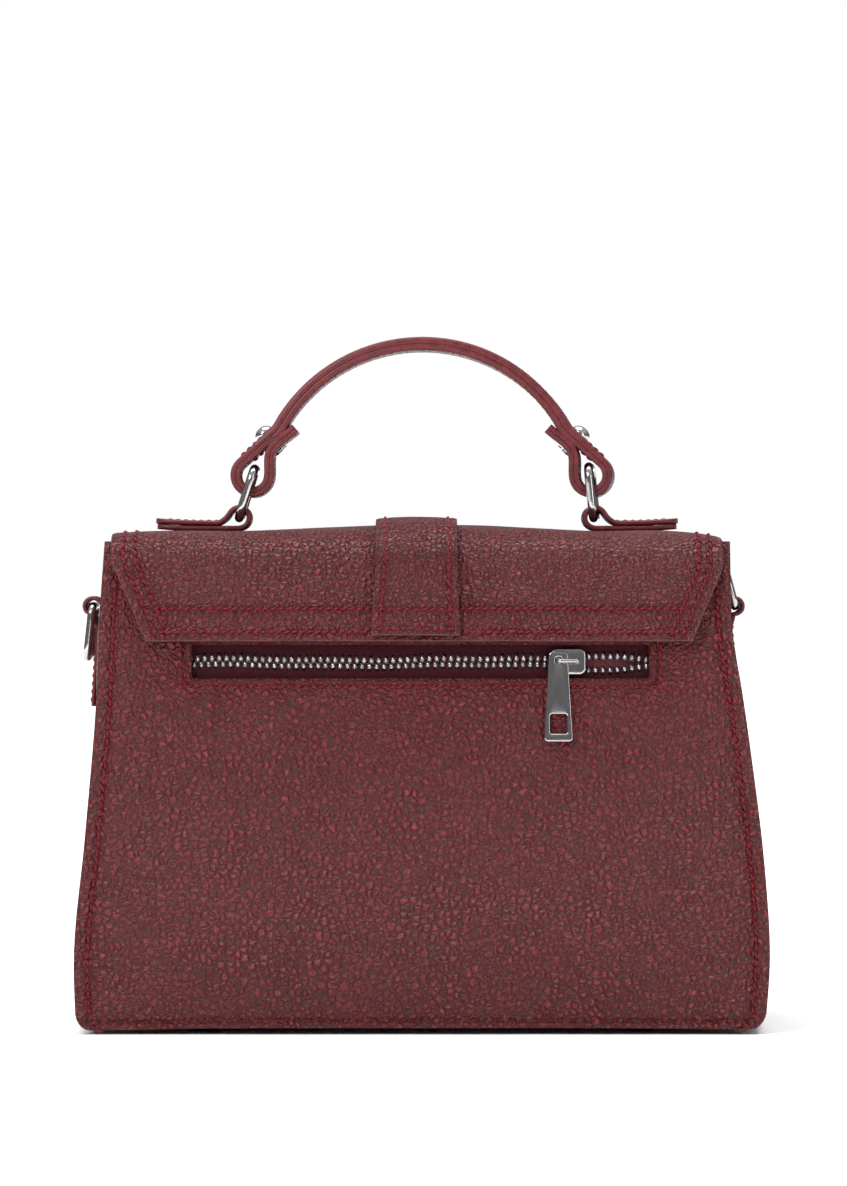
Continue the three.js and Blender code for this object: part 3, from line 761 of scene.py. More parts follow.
def make_materials():
    pebble, mottle, weave = leather_group(), wear_group(), weave_group()
    # The second and third colours here are painted shade in the grain's creases and painted sheen on its
    # pebble tops.
    oxblood = {"Colour": tone(103, 22, 23), "Crease": tone(58, 8, 10), "Bloom": tone(136, 46, 44)}
    for name, size, polish in (
        ("Leather panel", 2.6, 0.3), ("Leather side", 2.9, 0.3),
        ("Leather flap", 2.2, 0.29), ("Leather strap", 1.9, 0.3),
    ):
        material(name, pebble, {**oxblood, "Pebble": size, "Polish": polish}, None, 1.3, specular=0.42)
    # name, two tones, size of the mottle, roughness, bump and what the shader has besides
    for name, first, second, size, rough, bump, constants in (
        ("Leather inside", (96, 40, 44), (116, 56, 58), 3.0, 0.82, 0.12, {"specular": 0.25}),
        ("Edge paint", (60, 18, 24), (92, 40, 44), 2.2, ("Mask", 0.34, 0.5), 0.1, {"specular": 0.5}),
        ("Strap edge", (86, 22, 27), (104, 32, 36), 3.0, ("Mask", 0.4, 0.52), 0.05, {"specular": 0.4}),
        ("Thread", (124, 12, 36), (98, 9, 28), 0.8, 0.6, 0.06, {"specular": 0.35}),
        ("Nickel", (190, 186, 184), (170, 166, 166), 9.0, ("Mask", 0.09, 0.16), 0.012, {"metallic": 1.0}),
        ("Tooth metal", (186, 184, 184), (132, 130, 134), 1.6, ("Mask", 0.2, 0.34), 0.03, {"metallic": 1.0}),
        ("Base card", (96, 78, 66), (80, 62, 52), 1.8, 0.9, 0.1, {"specular": 0.2}),
        ("Foot metal", (62, 60, 62), (48, 46, 48), 2.0, ("Mask", 0.24, 0.36), 0.02, {"metallic": 1.0}),
    ):
        values = {"First": tone(*first), "Second": tone(*second), "Size": size}
        material(name, mottle, values, rough, bump, **constants)
    # The tape's dark tones are partly its own dark burgundy and partly painted shade, standing for the
    # flap's shadow over the zip window.
    tape = {"Warp": tone(66, 15, 24), "Weft": tone(42, 9, 15), "Pitch": 0.55}
    material("Zip tape", weave, tape, 0.85, 0.15, specular=0.2)
    cloth = {"Warp": tone(112, 52, 56), "Weft": tone(90, 38, 42), "Pitch": 0.7, "Slant": 1.0}
    material("Lining cloth", weave, cloth, 0.78, 0.12, specular=0.3)
    floor = bpy.data.materials.new("Pale floor")
    floor.use_nodes = True
    g = Graph(floor.node_tree)
    away = g.add("ShaderNodeVectorMath", (0, g.millimetres()), operation="LENGTH").outputs["Value"]
    glow = g.ramp(away, 350.0, 1500.0, 0.0, 0.9)
    shade = g.mix(g.noise(g.millimetres(), 300.0), tone(252, 252, 252), tone(249, 249, 250))
    shader = floor.node_tree.nodes["Principled BSDF"]
    floor.node_tree.links.new(shade, shader.inputs["Base Color"])
    shader.inputs["Roughness"].default_value = 0.7
    shader.inputs["Specular IOR Level"].default_value = 0.15
    floor.node_tree.links.new(shade, shader.inputs["Emission Color"])
    floor.node_tree.links.new(glow, shader.inputs["Emission Strength"])


def look(name):
    """A material by its name; all are made at the first call."""
    if name not in bpy.data.materials:
        make_materials()
    return bpy.data.materials[name]


def leather_sheet(outer):
    """The three looks of a leather sheet: its face, its back and its cut edge."""
    return [look(outer), look("Leather inside"), look("Edge paint")]


# ---- what repeats along a line ----
def line_tree():
    """Geometry nodes: copies of one shape along a line, at a set pitch, each turned a little."""
    tree = bpy.data.node_groups.new("Repeat along a line", "GeometryNodeTree")
    for name, kind, value in (
        ("Line", "Geometry", None), ("Shape", "Object", None), ("Pitch", "Float", 0.003),
        ("Tilt", "Float", 0.0), ("Wander", "Float", 0.0), ("Seed", "Int", 1), ("Look", "Material", None),
    ):
        socket = tree.interface.new_socket(name, in_out="INPUT", socket_type="NodeSocket" + kind)
        if value is not None:
            socket.default_value = value
    tree.interface.new_socket("Geometry", in_out="OUTPUT", socket_type="NodeSocketGeometry")
    g = Graph(tree)
    given = g.add("NodeGroupInput").outputs
    line = g.add("GeometryNodeMeshToCurve", (0, given["Line"])).outputs[0]
    spaced = g.add(
        "GeometryNodeResampleCurve", ("Curve", line), ("Length", given["Pitch"]), mode="LENGTH"
    ).outputs[0]
    tangent = g.add("GeometryNodeInputTangent").outputs[0]
    up = g.add("GeometryNodeInputNamedAttribute", ("Name", "up"), data_type="FLOAT_VECTOR").outputs[0]
    stand = g.add("FunctionNodeAlignRotationToVector", ("Vector", up), axis="Z").outputs[0]
    turn = g.add(
        "FunctionNodeAlignRotationToVector", ("Rotation", stand), ("Vector", tangent),
        axis="X", pivot_axis="Z",
    ).outputs[0]
    spin = g.add("FunctionNodeRandomValue", ("Seed", given["Seed"]), data_type="FLOAT")
    spin.inputs[2].default_value = -1.0
    spin.inputs[3].default_value = 1.0
    wander = g.math("MULTIPLY", spin.outputs[1], given["Wander"])
    lean = g.math("ADD", wander, given["Tilt"])
    axis = g.add("ShaderNodeCombineXYZ", (2, lean)).outputs[0]
    tilt = g.add("FunctionNodeEulerToRotation", (0, axis)).outputs[0]
    turned = g.add("FunctionNodeRotateRotation", (0, turn), (1, tilt), rotation_space="LOCAL").outputs[0]
    shape = g.add("GeometryNodeObjectInfo", ("Object", given["Shape"])).outputs["Geometry"]
    placed = g.add(
        "GeometryNodeInstanceOnPoints", ("Points", spaced), ("Instance", shape), ("Rotation", turned)
    ).outputs[0]
    real = g.add("GeometryNodeRealizeInstances", (0, placed)).outputs[0]
    painted = g.add("GeometryNodeSetMaterial", ("Geometry", real), ("Material", given["Look"])).outputs[0]
    end = g.add("NodeGroupOutput")
    tree.links.new(painted, end.inputs[0])
    return tree


def repeat(name, lines, shape, pitch, look_name, tilt=0.0, wander=0.0, seed=1):
    """Repeats a shape along lines, each a list of (point, up)."""
    tree = bpy.data.node_groups.get("Repeat along a line") or line_tree()
    points, edges, ups = [], [], []
    for line in lines:
        for i, (point, up) in enumerate(line):
            if i:
                edges.append((len(points) - 1, len(points)))
            points.append(tuple(Vector(point) * MM))
            ups.append(Vector(up).normalized())
    mesh = bpy.data.meshes.new(name)
    mesh.from_pydata(points, edges, [])
    attribute = mesh.attributes.new("up", "FLOAT_VECTOR", "POINT")
    attribute.data.foreach_set("vector", [c for up in ups for c in up])
    obj = placed(name, mesh)
    nodes = obj.modifiers.new("Repeat", "NODES")
    nodes.node_group = tree
    sockets = {item.name: item.identifier for item in tree.interface.items_tree if item.in_out == "INPUT"}
    nodes[sockets["Shape"]] = shape
    nodes[sockets["Pitch"]] = pitch * MM
    nodes[sockets["Tilt"]] = tilt
    nodes[sockets["Wander"]] = wander
    nodes[sockets["Seed"]] = seed
    nodes[sockets["Look"]] = look(look_name)
    bake_modifiers(obj)
    if not obj.data.polygons:
        raise RuntimeError(f"{name} came out empty")
    obj.data.materials.clear()
    obj.data.materials.append(look(look_name))
    obj.data.polygons.foreach_set("material_index", [0] * len(obj.data.polygons))
    return obj


def stitch_shape(length, radius):
    """One stitch: a short rounded thread that dips at both ends."""
    path = []
    for i in range(5):
        t = i / 4
        path.append(Vector(((t - 0.5) * length, 0, radius * (1.5 * math.sin(math.pi * t) - 0.75))))
    return sweep(
        "stitch_shape", path, round_section(radius, 6), Vector((0, 1, 0)), [look("Thread")], soften=False
    )


def discard(obj):
    """Removes an object and its mesh."""
    mesh = obj.data
    bpy.data.objects.remove(obj)
    bpy.data.meshes.remove(mesh)


# ---- settings ----
class SatchelBody(bpy.types.PropertyGroup):
    belly: FloatProperty(
        name="Belly", description="How far the panels stand out over the contents, in mm",
        default=4.4, min=0, max=6,
    )
    gusset_bulge: FloatProperty(
        name="Gusset bulge", description="How far the sides swell between their seams, in mm",
        default=1.6, min=0, max=4,
    )
    seam_inset: FloatProperty(
        name="Seam inset", description="From a panel's side edge in to its stitches, in mm",
        default=5.4, min=3, max=8,
    )


class SatchelFlap(bpy.types.PropertyGroup):
    thickness: FloatProperty(
        name="Thickness", description="The lined flap's thickness, in mm", default=3.2, min=2, max=4,
    )
    hem_stand: FloatProperty(
        name="Hem stand", description="How far the back hem stands off the panel, in mm",
        default=1.2, min=0, max=3,
    )
    strap_loose: FloatProperty(
        name="Strap slack", description="How much wider the centre strap goes round the bends, in mm",
        default=1.3, min=0, max=4,
    )


class SatchelHandle(bpy.types.PropertyGroup):
    radius: FloatProperty(
        name="Arch radius", description="To the middle of the strap, in mm", default=64.5,
    )
    twist: FloatProperty(
        name="Right turn", description="How far the handle's right end turns about the upright",
        default=math.radians(-4.5), subtype="ANGLE",
    )


class SatchelThread(bpy.types.PropertyGroup):
    pitch: FloatProperty(name="Pitch", description="From stitch to stitch, in mm", default=3.0, min=2, max=5)
    length: FloatProperty(name="Length", description="One stitch on show, in mm", default=2.2, min=1, max=4)
    radius: FloatProperty(name="Radius", description="Half the thread's width, in mm", default=0.42)
    slant: FloatProperty(
        name="Slant", description="How far a stitch lies off its row",
        default=math.radians(16), subtype="ANGLE",
    )


class SatchelStage(bpy.types.PropertyGroup):
    distance: FloatProperty(
        name="Distance", description="Camera to the back panel", default=2.0, unit="LENGTH",
    )
    height: FloatProperty(name="Height", description="Camera height", default=0.1692, unit="LENGTH")
    lens: FloatProperty(name="Lens", description="Focal length in mm", default=157.9)


SETTINGS = {
    "satchel_body": SatchelBody, "satchel_flap": SatchelFlap, "satchel_handle": SatchelHandle,
    "satchel_thread": SatchelThread, "satchel_stage": SatchelStage,
}


# ---- body ----
PANEL_FOOT = 1.6        # height of the panels' lower edge


def body_edges(z, inset=1.0):
    """A panel's side edges at a height, rounded in at the bottom corners."""
    corner = 7.0
    under = max(corner - (z - PANEL_FOOT), 0) / corner
    tuck = corner * (1 - math.sqrt(max(1 - min(under, 1) ** 2, 0))) * 0.8
    return -left_side(z) + inset + tuck, right_side(z) - inset - tuck


bottom_edge = through((-134, 1.3), (-112, 1.9), (0, 2.5), (100, 2.3), (134, 1.9))


def panel_rows(point, flip, cuts=(), holes=None):
    """Rows of points up a panel, with its seams drawn in."""
    inset = bpy.context.scene.satchel_body.seam_inset
    margins = [0, 0.7, 1.8] + [inset + d for d in (-1.6, -0.8, 0, 0.8, 1.8, 4.5, 9)]
    heights = [0, 0.5, 1.4, 2.2, 2.9, 3.6, 4.4, 6, 8.5, 12, 16, 20]
    heights += list(np.arange(25, 126, 5.0)) + list(np.arange(129, PANEL_TOP - 3, 3.4)) + [PANEL_TOP - 1.6]
    middle = list(np.arange(-104, 105, 4.0))
    for cut in cuts:
        middle = [x for x in middle if abs(x - cut) > 1.6] + [cut]
    if holes:
        heights = [h for h in heights if min(abs(h - PANEL_FOOT - z) for z in holes) > 1.5]
        heights += [z - PANEL_FOOT for z in holes]
    middle.sort()
    heights.sort()
    rows = []
    for h in heights:
        z = PANEL_FOOT + h
        left, right = body_edges(z)
        xs = [left + d for d in margins] + middle + [right - d for d in reversed(margins)]
        row = []
        for x in xs:
            near = min(x - left, right - x)
            lift = -stitch_dip(near, inset, 0.75, 1.3) - 0.5 * smooth(1 - near / 2)
            lift -= stitch_dip(h, 3.0, 0.9, 0.8) * smooth(near / 5)
            place = point(x, z, lift)
            place.z += (bottom_edge(x) - PANEL_FOOT) * smooth(1 - h / 16)
            row.append(place)
        rows.append(row[::-1] if flip else row)
    return rows, heights, xs


def gusset_face(side, z):
    """The flat middle of a side, where the ring's loop is sewn."""
    fold = 8.0 if side > 0 else 0.0
    rise = (z - PANEL_LOW) / (PANEL_TOP - PANEL_LOW)
    return 134 - 11.5 * rise - fold * rise


def gusset_rows(side):
    """Rows of points up a side, swelling between its flat middle and its seams."""
    settings = bpy.context.scene.satchel_body
    rows = []
    for z in [3.4, 4.0, 5.2, 7.0, 9.5, 13] + list(np.arange(18, PANEL_TOP - 2, 5.0)) + [PANEL_TOP - 2]:
        edge = right_side(z) if side > 0 else left_side(z)
        seam = edge - 1.5 - 2.0 * smooth((z - 6) / 24)
        face = gusset_face(side, z)
        low = max(9 - (z - 3.4), 0) / 9
        tuck = 2.4 * (1 - math.sqrt(max(1 - min(low, 1) ** 2, 0)))
        depth = wall_y(z) - 2.3
        row = []
        for t in np.linspace(-1, 1, 41):
            y = t * depth
            flat = 19.0
            reach = min(max((abs(y) - flat) / (depth - flat), 0), 1)
            bulge = settings.gusset_bulge * math.sin(math.pi * reach) ** 2 * smooth((z - 10) / 40)
            if side < 0:
                bulge += 1.0 * math.sin(math.pi * reach) ** 2 * smooth((z - 110) / 30)
            x = face * (1 - smooth(reach)) + seam * smooth(reach) + bulge
            x += ripple(Vector((side * 50, y, z)), 30, 0.7) * math.sin(math.pi * reach) - tuck
            row.append(Vector((side * x, y, z)))
        rows.append(row if side > 0 else row[::-1])
    return rows


def superellipse(half_x, half_y, count=72, power=8.0):
    """Points round a rounded rectangle, clockwise seen from above, from the middle of the back."""
    points = []
    for i in range(count):
        angle = -math.pi / 2 - 2 * math.pi * i / count
        c, s = math.cos(angle), math.sin(angle)
        r = (abs(c / half_x) ** power + abs(s / half_y) ** power) ** (-1 / power)
        points.append((r * c, r * s))
    return points


class SATCHEL_OT_walls(bpy.types.Operator):
    """Cut and hang the two panels, the two sides and the bottom"""

    bl_idname = "satchel.walls"
    bl_label = "Walls"

    def execute(self, context):
        leather = leather_sheet("Leather panel")
        low, high = CHAIN_Z - WINDOW_HALF, CHAIN_Z + WINDOW_HALF
        rows, heights, xs = panel_rows(back_point, False, (WINDOW_LEFT, WINDOW_RIGHT), (low, high))
        first = heights.index(low - PANEL_FOOT)
        last = heights.index(high - PANEL_FOOT)
        left = min(range(len(xs)), key=lambda i: abs(xs[i] - WINDOW_LEFT))
        right = min(range(len(xs)), key=lambda i: abs(xs[i] - WINDOW_RIGHT))

        def window(r, c):
            return first <= r < last and left <= c < right

        back = sheet("back_panel_leather", rows, LEATHER, leather, window)
        stand_for(back, "body", "leather", "back_panel")
        front_rows, _, _ = panel_rows(front_point, True)
        front = sheet("front_panel_leather", front_rows, LEATHER, leather)
        stand_for(front, "body", "leather", "front_panel")
        for side, word in ((-1, "left"), (1, "right")):
            leather_side = leather_sheet("Leather side")
            gusset = sheet(f"{word}_gusset_leather", gusset_rows(side), LEATHER, leather_side)
            stand_for(gusset, "body", "leather", f"{word}_gusset")
        rows = []
        for y in np.linspace(1, -1, 25):
            row = []
            for x in np.linspace(-1, 1, 53):
                edge = smooth((1 - abs(x)) / 0.06) * smooth((1 - abs(y)) / 0.1)
                sag = ripple(Vector((x * 130, y * 60, 0)), 40, 0.3)
                row.append(Vector((x * 128.5, y * 58.6, 3.4 - 0.2 * edge + sag * edge * 0.5)))
            rows.append(row)
        bottom = sheet("bottom_leather", rows, LEATHER, leather)
        stand_for(bottom, "body", "leather", "bottom_panel")
        return {"FINISHED"}


class SATCHEL_OT_inside(bpy.types.Operator):
    """Sew the lining and the zip pocket's bag, and finish the card and the magnets"""

    bl_idname = "satchel.inside"
    bl_label = "Inside"

    def execute(self, context):
        cloth = [look("Lining cloth")] * 3
        rows = []
        for scale in (0.02, 0.3, 0.6, 0.85, 0.97):
            rows.append([Vector((x * scale, y * scale, 8.6)) for x, y in superellipse(129, 56)])
        for z in list(np.arange(9.5, PANEL_TOP - 3, 6.0)) + [PANEL_TOP - 2.4]:
            half_x = min(gusset_face(-1, z), gusset_face(1, z)) - 4.2
            half_y = wall_y(z) - LEATHER - 3.0
            row = []
            for x, y in superellipse(half_x, half_y):
                tuck = 1 + ripple(Vector((x, y, z)), 22, 0.012) * smooth((z - 12) / 20)
                row.append(Vector((x * tuck, y * tuck, z)))
            rows.append(row)
        lining = sheet("lining_cloth_bag", [row + [row[0]] for row in rows], 0.7, cloth, weld=True)
        stand_for(lining, "body", "lining_cloth", "lining")
        low, high = corners("pocket_bag")
        middle, half = (low + high) / 2, (high - low) / 2
        count = 25
        points, faces = [], []
        for face in (-1, 1):
            for u in np.linspace(-1, 1, count):
                for v in np.linspace(-1, 1, count):
                    fullness = (1 - u ** 4) * (1 - v ** 4)
                    z = middle.z + v * (half.z - 0.4)
                    y = middle.y + (z - middle.z) * SLOPE + face * (0.15 + 0.5 * fullness)
                    points.append(Vector((middle.x + u * (half.x - 0.4), y, z)))
        area = count * count
        for side in (0, 1):
            for i in range(count - 1):
                for j in range(count - 1):
                    a = side * area + i * count + j
                    faces.append((a, a + 1, a + count + 1, a + count))
        rim = [i * count for i in range(count)]
        rim += [(count - 1) * count + j for j in range(1, count)]
        rim += [i * count + count - 1 for i in reversed(range(count - 1))]
        rim += [j for j in reversed(range(1, count - 1))]
        for k, a in enumerate(rim):
            b = rim[(k + 1) % len(rim)]
            faces.append((a, b, b + area, a + area))
        pocket = outward(new_object("pocket_bag_cloth", points, faces, cloth[:1]))
        stand_for(pocket, "body", "lining_cloth", "pocket_bag")
        for node, name in (
            ("base_board", "Base card"), ("front_magnet", "Nickel"), ("flap_magnet", "Nickel"),
            ("zip_left_stop", "Tooth metal"), ("zip_right_stop", "Tooth metal"),
        ):
            repaint(node, name)
        return {"FINISHED"}


def repaint(node, name):
    """Gives a frame node's own mesh another look."""
    data = frame["nodes"][node].data
    data.materials.clear()
    data.materials.append(look(name))


def halves(obj, rear_name, front_name):
    """Parts a finished piece across the middle of the flap's top, flush, into two closed halves."""
    made = []
    for name, keep_rear in ((rear_name, True), (front_name, False)):
        shape = bmesh.new()
        shape.from_mesh(obj.data)
        bmesh.ops.bisect_plane(
            shape, geom=shape.verts[:] + shape.edges[:] + shape.faces[:], plane_co=(0, 0.002, 0),
            plane_no=(0, 1, 0), clear_outer=keep_rear, clear_inner=not keep_rear,
        )
        open_edges = [e for e in shape.edges if e.is_boundary]
        if open_edges:
            for edge in open_edges:
                edge.smooth = False
            bmesh.ops.holes_fill(shape, edges=open_edges, sides=0)
        mesh = bpy.data.meshes.new(name)
        shape.to_mesh(mesh)
        shape.free()
        for material in obj.data.materials:
            mesh.materials.append(material)
        made.append(placed(name, mesh))
    discard(obj)
    return made


def hang(halves_made, rear_nodes, front_nodes):
    """Bakes the two halves' placing into their meshes and hides the frame nodes they stand in for."""
    rear, fore = halves_made
    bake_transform(rear)
    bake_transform(fore)
    for obj, nodes in ((rear, rear_nodes), (fore, front_nodes)):
        if nodes:
            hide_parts(*nodes)


FLAP_SIDE_ROWS = (4.9, 9.4)     # the flap's stitch rows, in from its side edges
FLAP_HEM_ROWS = (3.6, 12.6)     # and up from its hems
# places in from the flap's side edges, and in from the strap's ends
FLAP_MARGINS = [0, 0.7, 2.2, 4.1, 4.9, 5.7, 7.2, 8.6, 9.4, 10.2, 12.4]
STRAP_NEAR = (0, 0.5, 1.4, 2.4, 3.4, 5, 7.5, 9.3, 10.2, 11.1, 13)
STRAP_LIFT = 2.7                # the strap's outer face above the flap's
STRAP_ROW = 3.5                 # the strap's stitch rows, in from its sides
STRAP_END_ROWS = (2.4, 10.2)    # and from its ends


def strap_edges(place):
    """The centre strap is a little wider at its two ends."""
    _, z, _, _, part, _ = place
    flare = smooth((181 - z) / 28) if part in ("back", "front") else 0.0
    return STRAP_LEFT + 1.3 - 1.6 * flare, STRAP_RIGHT - 1.0 + 1.0 * flare


def strap_spine(loose):
    """The strap's middle line: it ends just inside the back hem and past the front one."""
    return flap_spine(BACK_HEM + 1.8, FRONT_HEM - 5.6, STRAP_NEAR, loose)


class SATCHEL_OT_flap(bpy.types.Operator):
    """Fold the lined flap over the top, and lay the centre strap over it"""

    bl_idname = "satchel.flap"
    bl_label = "Flap and strap"

    def execute(self, context):
        settings = context.scene.satchel_flap
        spine = flap_spine(BACK_HEM, FRONT_HEM, HEM_ROWS)
        rows = []
        for place in spine:
            left, right = spine_edges(place)
            row = []
            for x in columns(left, right, FLAP_MARGINS, 46):
                near = min(x - left, right - x)
                dip = sum(stitch_dip(near, row_in, 0.3, 0.7) for row_in in FLAP_SIDE_ROWS)
                for row_up in FLAP_HEM_ROWS if place[4] == "back" else FLAP_HEM_ROWS[:1]:
                    dip += stitch_dip(place[5], row_up, 0.3, 0.7) * smooth((near - 3) / 3)
                dip += 0.35 * smooth(1 - near / 1.6)
                row.append(flap_at(place, x, -dip))
            rows.append(row)
        whole = sheet("flap", rows, settings.thickness, leather_sheet("Leather flap"))
        made = halves(whole, "flap_rear_leather", "flap_front_leather")
        hang(made, ("flap_back", "flap_back_lining", "flap_top", "flap_top_lining"),
             ("flap_front", "flap_front_lining"))
        rows = []
        for place in strap_spine(settings.strap_loose):
            left, right = strap_edges(place)
            loose = settings.strap_loose if place[4] in ("over", "down") else 0.0
            row = []
            for x in columns(left, right, [0, 0.5, 1.5, 2.7, 3.5, 4.3, 6], 9):
                near = min(x - left, right - x)
                dip = stitch_dip(near, STRAP_ROW, 0.3, 0.7) + 0.25 * smooth(1 - near / 1.4)
                dip += sum(stitch_dip(place[5], row_in, 0.25, 0.7) for row_in in STRAP_END_ROWS)
                dip -= 0.35 * (1 - ((x - left) / (right - left) * 2 - 1) ** 2)
                row.append(flap_at(place, x, STRAP_LIFT - dip + loose * 0.4))
            rows.append(row)
        strap = sheet("strap", rows, 2.2, leather_sheet("Leather strap"))
        made = halves(strap, "strap_rear_leather", "strap_front_leather")
        hang(made, ("strap_back", "strap_top"), ("strap_front",))
        return {"FINISHED"}


# ---- handle, rings and the loops that hold them ----
def arc(x, z, radius, start, end, count):
    """Points on an upright arc, angles in degrees from +X towards +Z."""
    return [
        Vector((x + radius * math.cos(math.radians(a)), 0, z + radius * math.sin(math.radians(a))))
        for a in np.linspace(start, end, count)
    ]


def soft(points, count):
    """A smooth line through a few points."""
    xs = [0.0]
    for a, b in zip(points, points[1:]):
        xs.append(xs[-1] + (b - a).length)
    fits = [through(*[(s, p[k]) for s, p in zip(xs, points)]) for k in range(3)]
    return [Vector([fit(s) for fit in fits]) for s in np.linspace(0, xs[-1], count)]


def mirrored(points):
    return [Vector((-p.x, p.y, p.z)) for p in points]


ARCH_END = 29.2         # degrees above the level at which the arch runs into its legs
ARCH_THICK = 5.4        # two plies and their filler
LEG_THICK = 4.2         # where the strap is pared down to fold round the ring
RING_PITCH = (pivot("handle_level") - pivot("handle_sway")).length
HANDLE_ROW = 3.0        # the handle's stitch rows, in from its edges
LOOP_OUTER = 8.7
LOOP_X = LOOP_OUT - LOOP_OUTER
LOOP_Z = LOOP_BOTTOM + LOOP_OUTER


def handle_line():
    """The handle's middle line from its right fold to its left fold, and the left rivet's place."""
    radius = bpy.context.scene.satchel_handle.radius
    centre = HANDLE_TOP - ARCH_THICK / 2 - radius
    foot = arc(0, centre, radius, 180 - ARCH_END, 180, 2)[0]
    inward = Vector((math.cos(math.radians(ARCH_END)), 0, -math.sin(math.radians(ARCH_END))))
    loop = arc(-LOOP_X, LOOP_Z, LOOP_OUTER - LEG_THICK / 2, 128, 357, 28)
    throat = foot.lerp(loop[0], 0.5) + inward * 0.1
    before = arc(0, centre, radius, 180 - ARCH_END - 3, 180, 2)[0]
    down = soft([before, foot, throat, loop[0], loop[1]], 22)
    fold_throat = throat + inward * (LEG_THICK + 0.25) + Vector((0, 0, -0.6))
    tip = foot + inward * (LEG_THICK + 0.6) + (foot - throat).normalized() * 3.0
    up = soft([loop[-2], loop[-1], fold_throat, tip], 18)
    left = down + loop[2:-2] + up
    arch = arc(0, centre, radius, ARCH_END + 4, 180 - ARCH_END - 4, 66)
    return mirrored(left)[::-1] + arch + left, foot.lerp(throat, 0.62), (foot - throat).normalized()


def yaw_right(obj):
    """Turns the handle's right end a little about the upright, as a used handle lies."""
    angle = bpy.context.scene.satchel_handle.twist
    for vertex in obj.data.vertices:
        x = vertex.co.x / MM
        share = smooth((x - 5) / 60)
        turned = Matrix.Rotation(angle * share, 3, "Z") @ Vector((0, vertex.co.y, 0))
        vertex.co.x += turned.x
        vertex.co.y = turned.y
    return obj


def ring_line(bar, turn, width, pitch, corner):
    """A rounded frame's wire line, up from its lower bar, leaning by turn towards +X."""
    up = Vector((math.sin(turn), 0, math.cos(turn)))
    side = Vector((0, 1, 0))
    outline = rounded_box(-width / 2, width / 2, 0, pitch, corner, 8)
    points = [bar + side * y + up * h for y, h in outline]
    dense = []
    for i, point in enumerate(points):
        after = points[(i + 1) % len(points)]
        steps = max(1, int((after - point).length / 2))
        dense += [point.lerp(after, k / steps) for k in range(steps)]
    return dense, side.cross(up)


class SATCHEL_OT_handle(bpy.types.Operator):
    """Bend the two-layer handle round its rings and rivet its folded ends"""

    bl_idname = "satchel.handle"
    bl_label = "Handle"

    def execute(self, context):
        line, rivet, leg = handle_line()
        section = strap_section(2 * HANDLE_HALF_WIDTH, LEG_THICK, HANDLE_ROW, plies=2)
        arch_share = 88.0 / len(line)       # the share of the line's points that lie on the arch

        def thicken(t):
            grown = smooth((arch_share / 2 - abs(t - 0.5)) / 0.09 + 0.5)
            return 1 + (ARCH_THICK / LEG_THICK - 1) * grown

        looks = [look("Leather strap"), look("Strap edge")]
        strap = sweep("handle_leather", line, section, Vector((0, 1, 0)), looks, thicken=thicken)
        stand_for(yaw_right(strap), "handle", "leather", "handle", "handle_lining")
        dome = [(0, 3.4), (1.2, 3.3), (2.3, 2.9), (3.2, 2.2), (3.8, 1.3), (4.0, 0.5), (3.9, 0.1), (3.5, 0.0)]
        dome += [(1.2, 0.0), (1.2, -8.4), (0, -8.4)]
        cap = [(0, -1.0), (1.5, -0.95), (3.0, -0.6), (3.5, -0.1), (3.3, 0.0), (0, 0.0)]
        for side, word in ((-1, "left"), (1, "right")):
            place = Vector((rivet.x * -side, 0, rivet.z))
            out = Vector((side * abs(leg.z), 0, abs(leg.x))).normalized()
            head = lathe(f"{word}_rivet", dome, place + out * (LEG_THICK / 2), out, [look("Nickel")])
            stand_for(yaw_right(head), "handle", "nickel", f"{word}_handle_rivet")
            inner = place - out * (LEG_THICK * 1.5 + 0.25)
            washer = lathe(f"{word}_rivet_cap", cap, inner, out, [look("Nickel")])
            stand_for(yaw_right(washer), "handle", "nickel", f"{word}_handle_rivet_cap")
        return {"FINISHED"}


class SATCHEL_OT_rings(bpy.types.Operator):
    """Bend the four wire rings"""

    bl_idname = "satchel.rings"
    bl_label = "Rings"

    def execute(self, context):
        left = pivot("handle_sway")
        right = pivot("right_ring_swing")
        rings = (
            ("left_handle_ring", left, 17.5, 3.6, 5.0, 0.0),
            ("right_handle_ring", right, -5.6, 3.6, 5.0, context.scene.satchel_handle.twist),
            ("left_side_ring", pivot("left_side_ring_swing"), 186.0, 3.2, 3.6, 0.0),
            ("right_side_ring", pivot("right_side_ring_swing"), -15.0, 3.2, 3.6, 0.0),
        )
        for node, bar, turn, wire, corner, yaw in rings:
            line, across = ring_line(bar, math.radians(turn), 22.0, RING_PITCH, corner)
            if yaw:
                spin = Matrix.Rotation(yaw, 3, "Z")
                line = [bar + spin @ (p - bar) for p in line]
                across = spin @ across
            section = round_section(wire / 2, 18)
            ring = sweep(f"{node}_wire", line, section, across, [look("Nickel")], closed=True)
            stand_for(ring, node, "nickel", node)
        return {"FINISHED"}


def trim(end, length, least):
    """A width factor that rounds off a strap's two free ends in plan."""
    def factor(t):
        near = min(t, 1 - t) * length
        if near >= end:
            return 1.0
        return least + (1 - least) * math.sqrt(max(1 - (1 - near / end) ** 2, 0))

    return factor


def even(points, step):
    """The same line with points at even steps."""
    out = []
    for a, b in zip(points, points[1:]):
        count = max(1, round((b - a).length / step))
        out += [a.lerp(b, k / count) for k in range(count)]
    return out + [points[-1]]


def line_length(points):
    """The length of a line of points."""
    return sum((b - a).length for a, b in zip(points, points[1:]))


CHAPE_THICK = 2.05
SIDE_CHAPE_THICK = 1.6
CHAPE_WIDTH = 20
CHAPE_ROW = 2.6         # the loops' stitch rows, in from their edges


